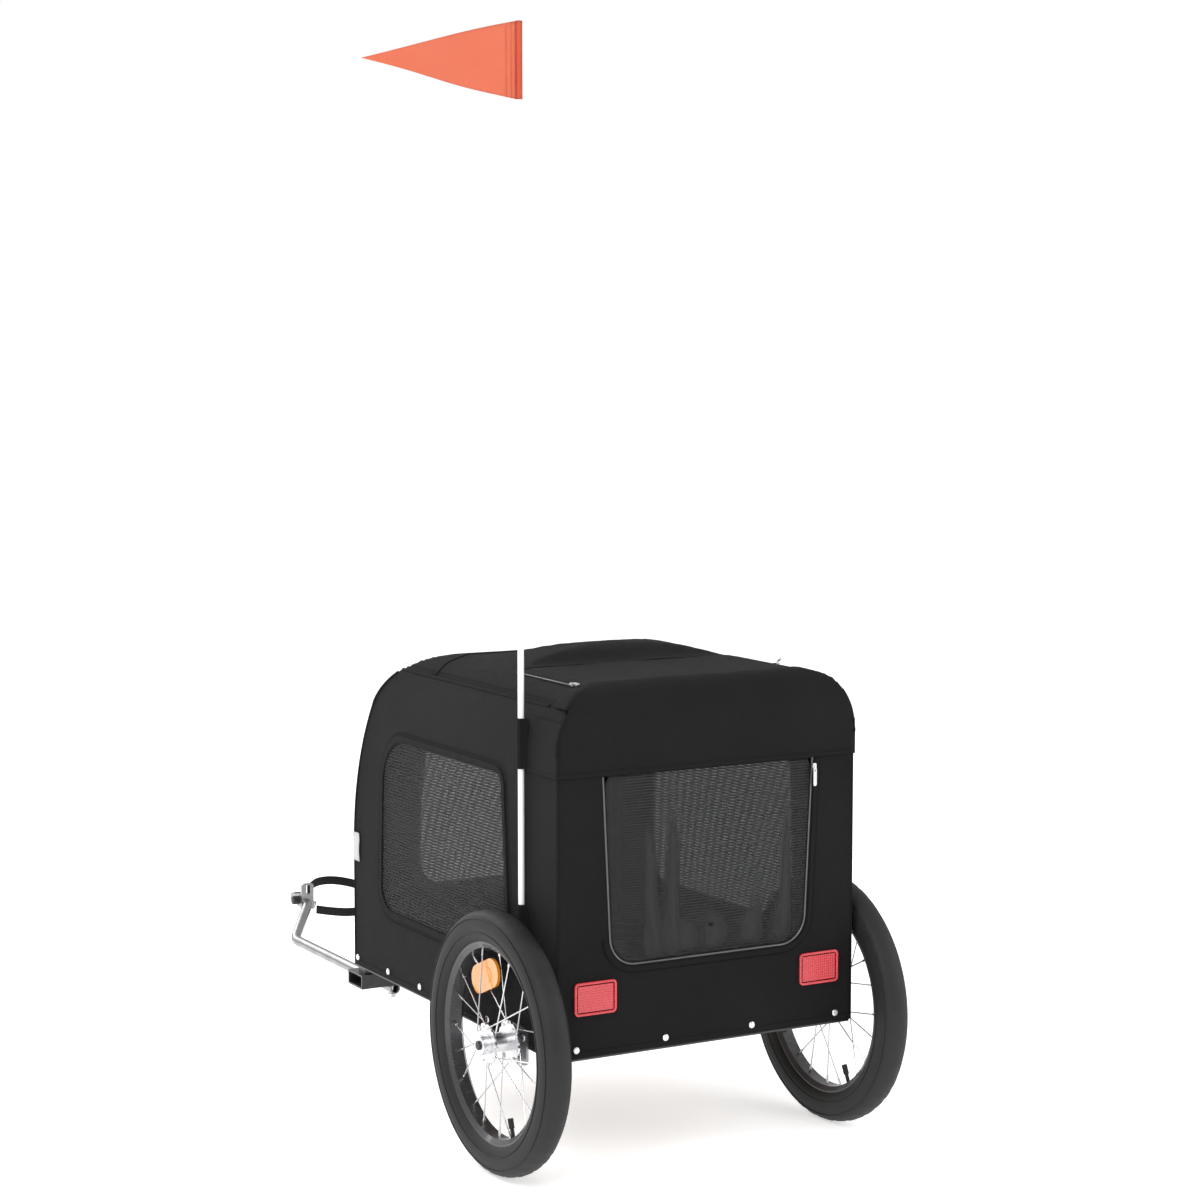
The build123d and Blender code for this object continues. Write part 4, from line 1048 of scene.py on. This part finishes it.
faces += [((rings - 1) * rays + i, (rings - 1) * rays + (i + 1) % rays, rings * rays) for i in range(rays)]
door = outward(piece("rear_door_net", verts, faces, DOOR_NET, "door"), (0, 200, 420))
marks = door.data.attributes.new("fold_shade", "FLOAT", "POINT")
marks.data.foreach_set("value", shade)
thicken(door, 0.4)
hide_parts("rear_door")

# %% [markdown]
# ## Wheels
# A trailer tyre is a rubber skin with a low tread of blocks and smooth sides. One slice of its
# outline is turned about the axle, and the tread blocks rise from it in a repeating row.

# %% Tyres
SLICE = [(-11.5, 150.5), (-17.0, 153.0), (-21.8, 162.0), (-23.3, 173.0), (-22.2, 184.0), (-18.2, 192.5),
         (-16.4, 194.6), (-9.0, 197.9), (0.0, 199.2), (9.0, 197.9), (16.4, 194.6), (18.2, 192.5),
         (22.2, 184.0), (23.3, 173.0), (21.8, 162.0), (17.0, 153.0), (11.5, 150.5)]
for side, word in ((-1, "left"), (1, "right")):
    verts, faces = [], []
    around, size = 240, len(SLICE)
    for i in range(around):
        turn = 2 * math.pi * i / around
        for k, (across, radius) in enumerate(SLICE):
            cut = 0.8 if 6 <= k <= 10 and (i + (2 if k % 2 else 0)) % 6 in (0, 1) else 0.0
            r = radius - cut
            verts.append(Vector((side * WHEEL_X + across, -r * math.sin(turn), TYRE_R + r * math.cos(turn))))
    for i in range(around):
        j = (i + 1) % around
        faces += [(i * size + k, i * size + k + 1, j * size + k + 1, j * size + k) for k in range(size - 1)]
        faces.append((i * size + size - 1, i * size, j * size, j * size + size - 1))
    tyre = piece(f"{word}_tyre_rubber", verts, faces, RUBBER, f"wheel_{word}")
    work = bmesh.new()
    work.from_mesh(tyre.data)
    bmesh.ops.recalc_face_normals(work, faces=work.faces)
    work.to_mesh(tyre.data)
    work.free()
    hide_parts(f"tyre_{word}")
    for rib in (-1, 1):
        for radius, thick in ((187.5, 0.5), (166.0, 0.45)):
            reach = 21.4 if radius > 180 else 22.8
            loop = [Vector((side * WHEEL_X + rib * reach, -radius * math.sin(a), TYRE_R + radius * math.cos(a)))
                    for a in (2 * math.pi * k / 120 for k in range(120))]
            ring = swept(f"{word}_tyre_line_{'in' if rib * side < 0 else 'out'}_{round(radius)}", loop,
                         [Vector((rib, 0, 0))] * 120, round_section(thick + 0.4, 6), RUBBER, f"wheel_{word}", True)

# %% [markdown]
# ## Reflectors
# A reflector is a lens moulded with rows of small pyramids. They send a lamp's light straight
# back, and by day they read as a fine grid behind a smooth rim.


# %% Rear reflectors
def reflector(name, low, high, y, body):
    """A lens with a smooth rim and a field of pyramids, facing back."""
    columns, rows, verts, faces = 16, 10, [], []
    inner_low, inner_high = (low[0] + 3.5, low[1] + 3.5), (high[0] - 3.5, high[1] - 3.5)
    step = ((inner_high[0] - inner_low[0]) / columns, (inner_high[1] - inner_low[1]) / rows)
    for j in range(rows):
        for i in range(columns):
            x, z, base = inner_low[0] + i * step[0], inner_low[1] + j * step[1], len(verts)
            verts += [Vector((x, y - 2.6, z)), Vector((x + step[0], y - 2.6, z)),
                      Vector((x + step[0], y - 2.6, z + step[1])), Vector((x, y - 2.6, z + step[1])),
                      Vector((x + step[0] / 2, y - 3.4, z + step[1] / 2))]
            faces += [(base + k, base + (k + 1) % 4, base + 4) for k in range(4)]
    behind = ((low[0] + high[0]) / 2, 0, (low[1] + high[1]) / 2)
    lens = outward(piece(name, verts, faces, RED_LENS, body, smooth=False), behind)
    rim = rounded([low, (high[0], low[1]), high, (low[0], high[1])], [5, 5, 5, 5])
    line = [Vector((p.x, y - 2.0, p.y)) for p in dense(rim, 6.0)]
    swept(f"{name}_rim", line, [Vector((0, -1, 0))] * len(line),
                  [(-2.0, -1.6), (2.0, -1.6), (1.9, 1.2), (1.2, 1.8), (-1.2, 1.8), (-1.9, 1.2)],
                  RED_LENS, body, True)
    return lens


for side, word in ((-1, "left"), (1, "right")):
    low, high = sorted((side * 163.0, side * 230.0))
    made = reflector(f"{word}_rear_lens", (low, 259.0), (high, 305.0), REAR - 0.1, "chassis")
    if side > 0:
        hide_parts("rear_reflectors")

# %% [markdown]
# ## Flag and its pole
# The pennant is nylon with a hemmed sleeve that turns on the rod. Its free tip lifts and waves a
# little, which a flat triangle never does.

# %% Pennant
FLAG_BOX = extent("flag")
hoist_low, hoist_high = FLAG_BOX[0].z + 0.5, FLAG_BOX[1].z - 0.5
reach = POLE[0] - FLAG_BOX[0].x - 2.0
tip_z = (hoist_low + hoist_high) / 2 - 8
verts, columns, rows = [], 60, 20
for i in range(columns + 1):
    share = i / columns
    for j in range(rows + 1):
        z = hoist_low + (hoist_high - hoist_low) * j / rows
        bow = 4.0 * math.sin(math.pi * share) * (1 - 2 * j / rows)
        z = z + (tip_z - z) * share - bow * (1 - share)
        wave = 3.4 * math.sin(share * 7.0 + 0.02 * (z - tip_z)) * min(1.0, share * 3)
        verts.append(Vector((POLE[0] - 4.8 - (reach - 5) * share, POLE[1] + wave, z)))
flag = piece("pennant_cloth", verts, net_faces(columns + 1, rows + 1), FLAG_CLOTH, "pennant")
solid = flag.modifiers.new("thickness", "SOLIDIFY")
solid.thickness, solid.offset = 0.0006, 0.0
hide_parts("flag")
hoist = [Vector((POLE[0], POLE[1], hoist_low + (hoist_high - hoist_low) * k / 16)) for k in range(17)]
sleeve = swept("pennant_sleeve", hoist, [Vector((0, 1, 0))] * 17,
               [(4.9 * math.cos(a) , 4.9 * math.sin(a)) for a in (2 * math.pi * k / 20 for k in range(20))],
               SLEEVE_CLOTH, "pennant")
for share in (0.035, 0.06):
    column = [verts[round(columns * share) * (rows + 1) + j] - Vector((0, 0.6, 0)) for j in range(rows + 1)]
    stitches(f"pennant_stitches_{round(share * 1000)}", column, [Vector((0, -1, 0))] * len(column), 3.2,
             "pennant", finish=SLEEVE_CLOTH)

# %% Pole pocket
pocket_low, pocket_high = extent("pole_pocket")
round_pocket = [Vector((-HALF - 0.5, POLE[1] - 9)), Vector((-HALF - 2.0, POLE[1] - 7))]
round_pocket += [Vector((POLE[0] + 6.2 * math.cos(a), POLE[1] + 6.2 * math.sin(a)))
                 for a in (math.radians(235 - 11 * k) for k in range(11))]
round_pocket += [Vector((-HALF - 2.0, POLE[1] + 7)), Vector((-HALF - 0.5, POLE[1] + 9))]
verts = []
for j in range(15):
    z = pocket_low.z + 0.4 + (pocket_high.z - pocket_low.z - 0.8) * j / 14
    verts += [Vector((p.x, p.y, z)) for p in round_pocket]
sheet = piece("pole_pocket_cloth", verts, net_faces(15, len(round_pocket)), CLOTH, "chassis")
pocket = outward(sheet, (POLE[0] + 6, POLE[1], 370))
thicken(pocket, 0.8)
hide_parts("pole_pocket")

# %% Label
verts = []
for j in range(9):
    for i in range(6):
        sway = 1.2 * math.sin(j * 0.5) + 0.7 * math.sin(i * 0.9)
        verts.append(Vector((-HALF - 1.6 - abs(sway), FRONT - 24 + i * 4.6, 372 + j * 6)))
label = piece("care_label", verts, net_faces(9, 6), LABEL_CLOTH, "chassis")
solid = label.modifiers.new("thickness", "SOLIDIFY")
solid.thickness = 0.0005

# %% [markdown]
# ## Floor cushion
# The cushion is a foam pad in a sewn cover. It is blown up a little by the cloth solver, from a
# slightly smaller block, so that its faces crown and its sides pull in.

# %% Floor cushion
cushion_low, cushion_high = extent("floor_cushion")
grown = cushion_high - cushion_low
mesh = bpy.data.meshes.new("floor_pad")
work = bmesh.new()
bmesh.ops.create_cube(work, size=1.0)
bmesh.ops.scale(work, verts=work.verts, vec=(grown * 0.001) - Vector((0.012, 0.012, 0.004)))
bmesh.ops.translate(work, verts=work.verts, vec=at(*((cushion_low + cushion_high) / 2)))
work.to_mesh(mesh)
work.free()
pad = bpy.data.objects.new("floor_pad", mesh)
scene.collection.objects.link(pad)
mesh.materials.append(CLOTH_INSIDE)
remesh = pad.modifiers.new("remesh", "REMESH")
remesh.mode, remesh.voxel_size, remesh.use_smooth_shade = "VOXEL", 0.006, True


def apply_modifiers(made):
    bpy.context.view_layer.update()
    shown = made.evaluated_get(bpy.context.evaluated_depsgraph_get())
    fresh = bpy.data.meshes.new_from_object(shown)
    made.modifiers.clear()
    made.data = fresh


apply_modifiers(pad)
before = [v.co.copy() for v in pad.data.vertices]
cloth = pad.modifiers.new("cloth", "CLOTH")
cloth.settings.quality = 4
cloth.settings.use_pressure, cloth.settings.uniform_pressure_force = True, 4.0
cloth.settings.effector_weights.gravity = 0.0
for step in range(1, 21):
    scene.frame_set(step)
apply_modifiers(pad)
scene.frame_set(1)
for vertex, start in zip(pad.data.vertices, before):
    move = vertex.co - start
    if move.length > 0.005:
        vertex.co = start + move.normalized() * 0.005
floor_top = at(0, 0, cushion_low.z).z
for vertex in pad.data.vertices:
    vertex.co.z = max(vertex.co.z, floor_top)
for polygon in pad.data.polygons:
    polygon.use_smooth = True
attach(pad, "chassis")
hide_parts("floor_cushion")

# %% [markdown]
# ## Floor of the studio
# A plain pale floor catches a soft shadow, so the wheels look heavy.

# %% Floor
paper = bpy.data.meshes.new("studio_floor")
paper.from_pydata([at(-9000, -9000, -0.5), at(9000, -9000, -0.5), at(9000, 9000, -0.5), at(-9000, 9000, -0.5)],
                  [], [(0, 1, 2, 3)])
ground = bpy.data.objects.new("studio_floor", paper)
scene.collection.objects.link(ground)
FLOOR = plastic_finish(
    "studio_paper", (0.93, 0.93, 0.93), 0.9, grain=12.0, depth=0.0001,
    Emission_Color=(1.0, 1.0, 1.0, 1.0), Emission_Strength=0.5,
)
paper.materials.append(FLOOR)
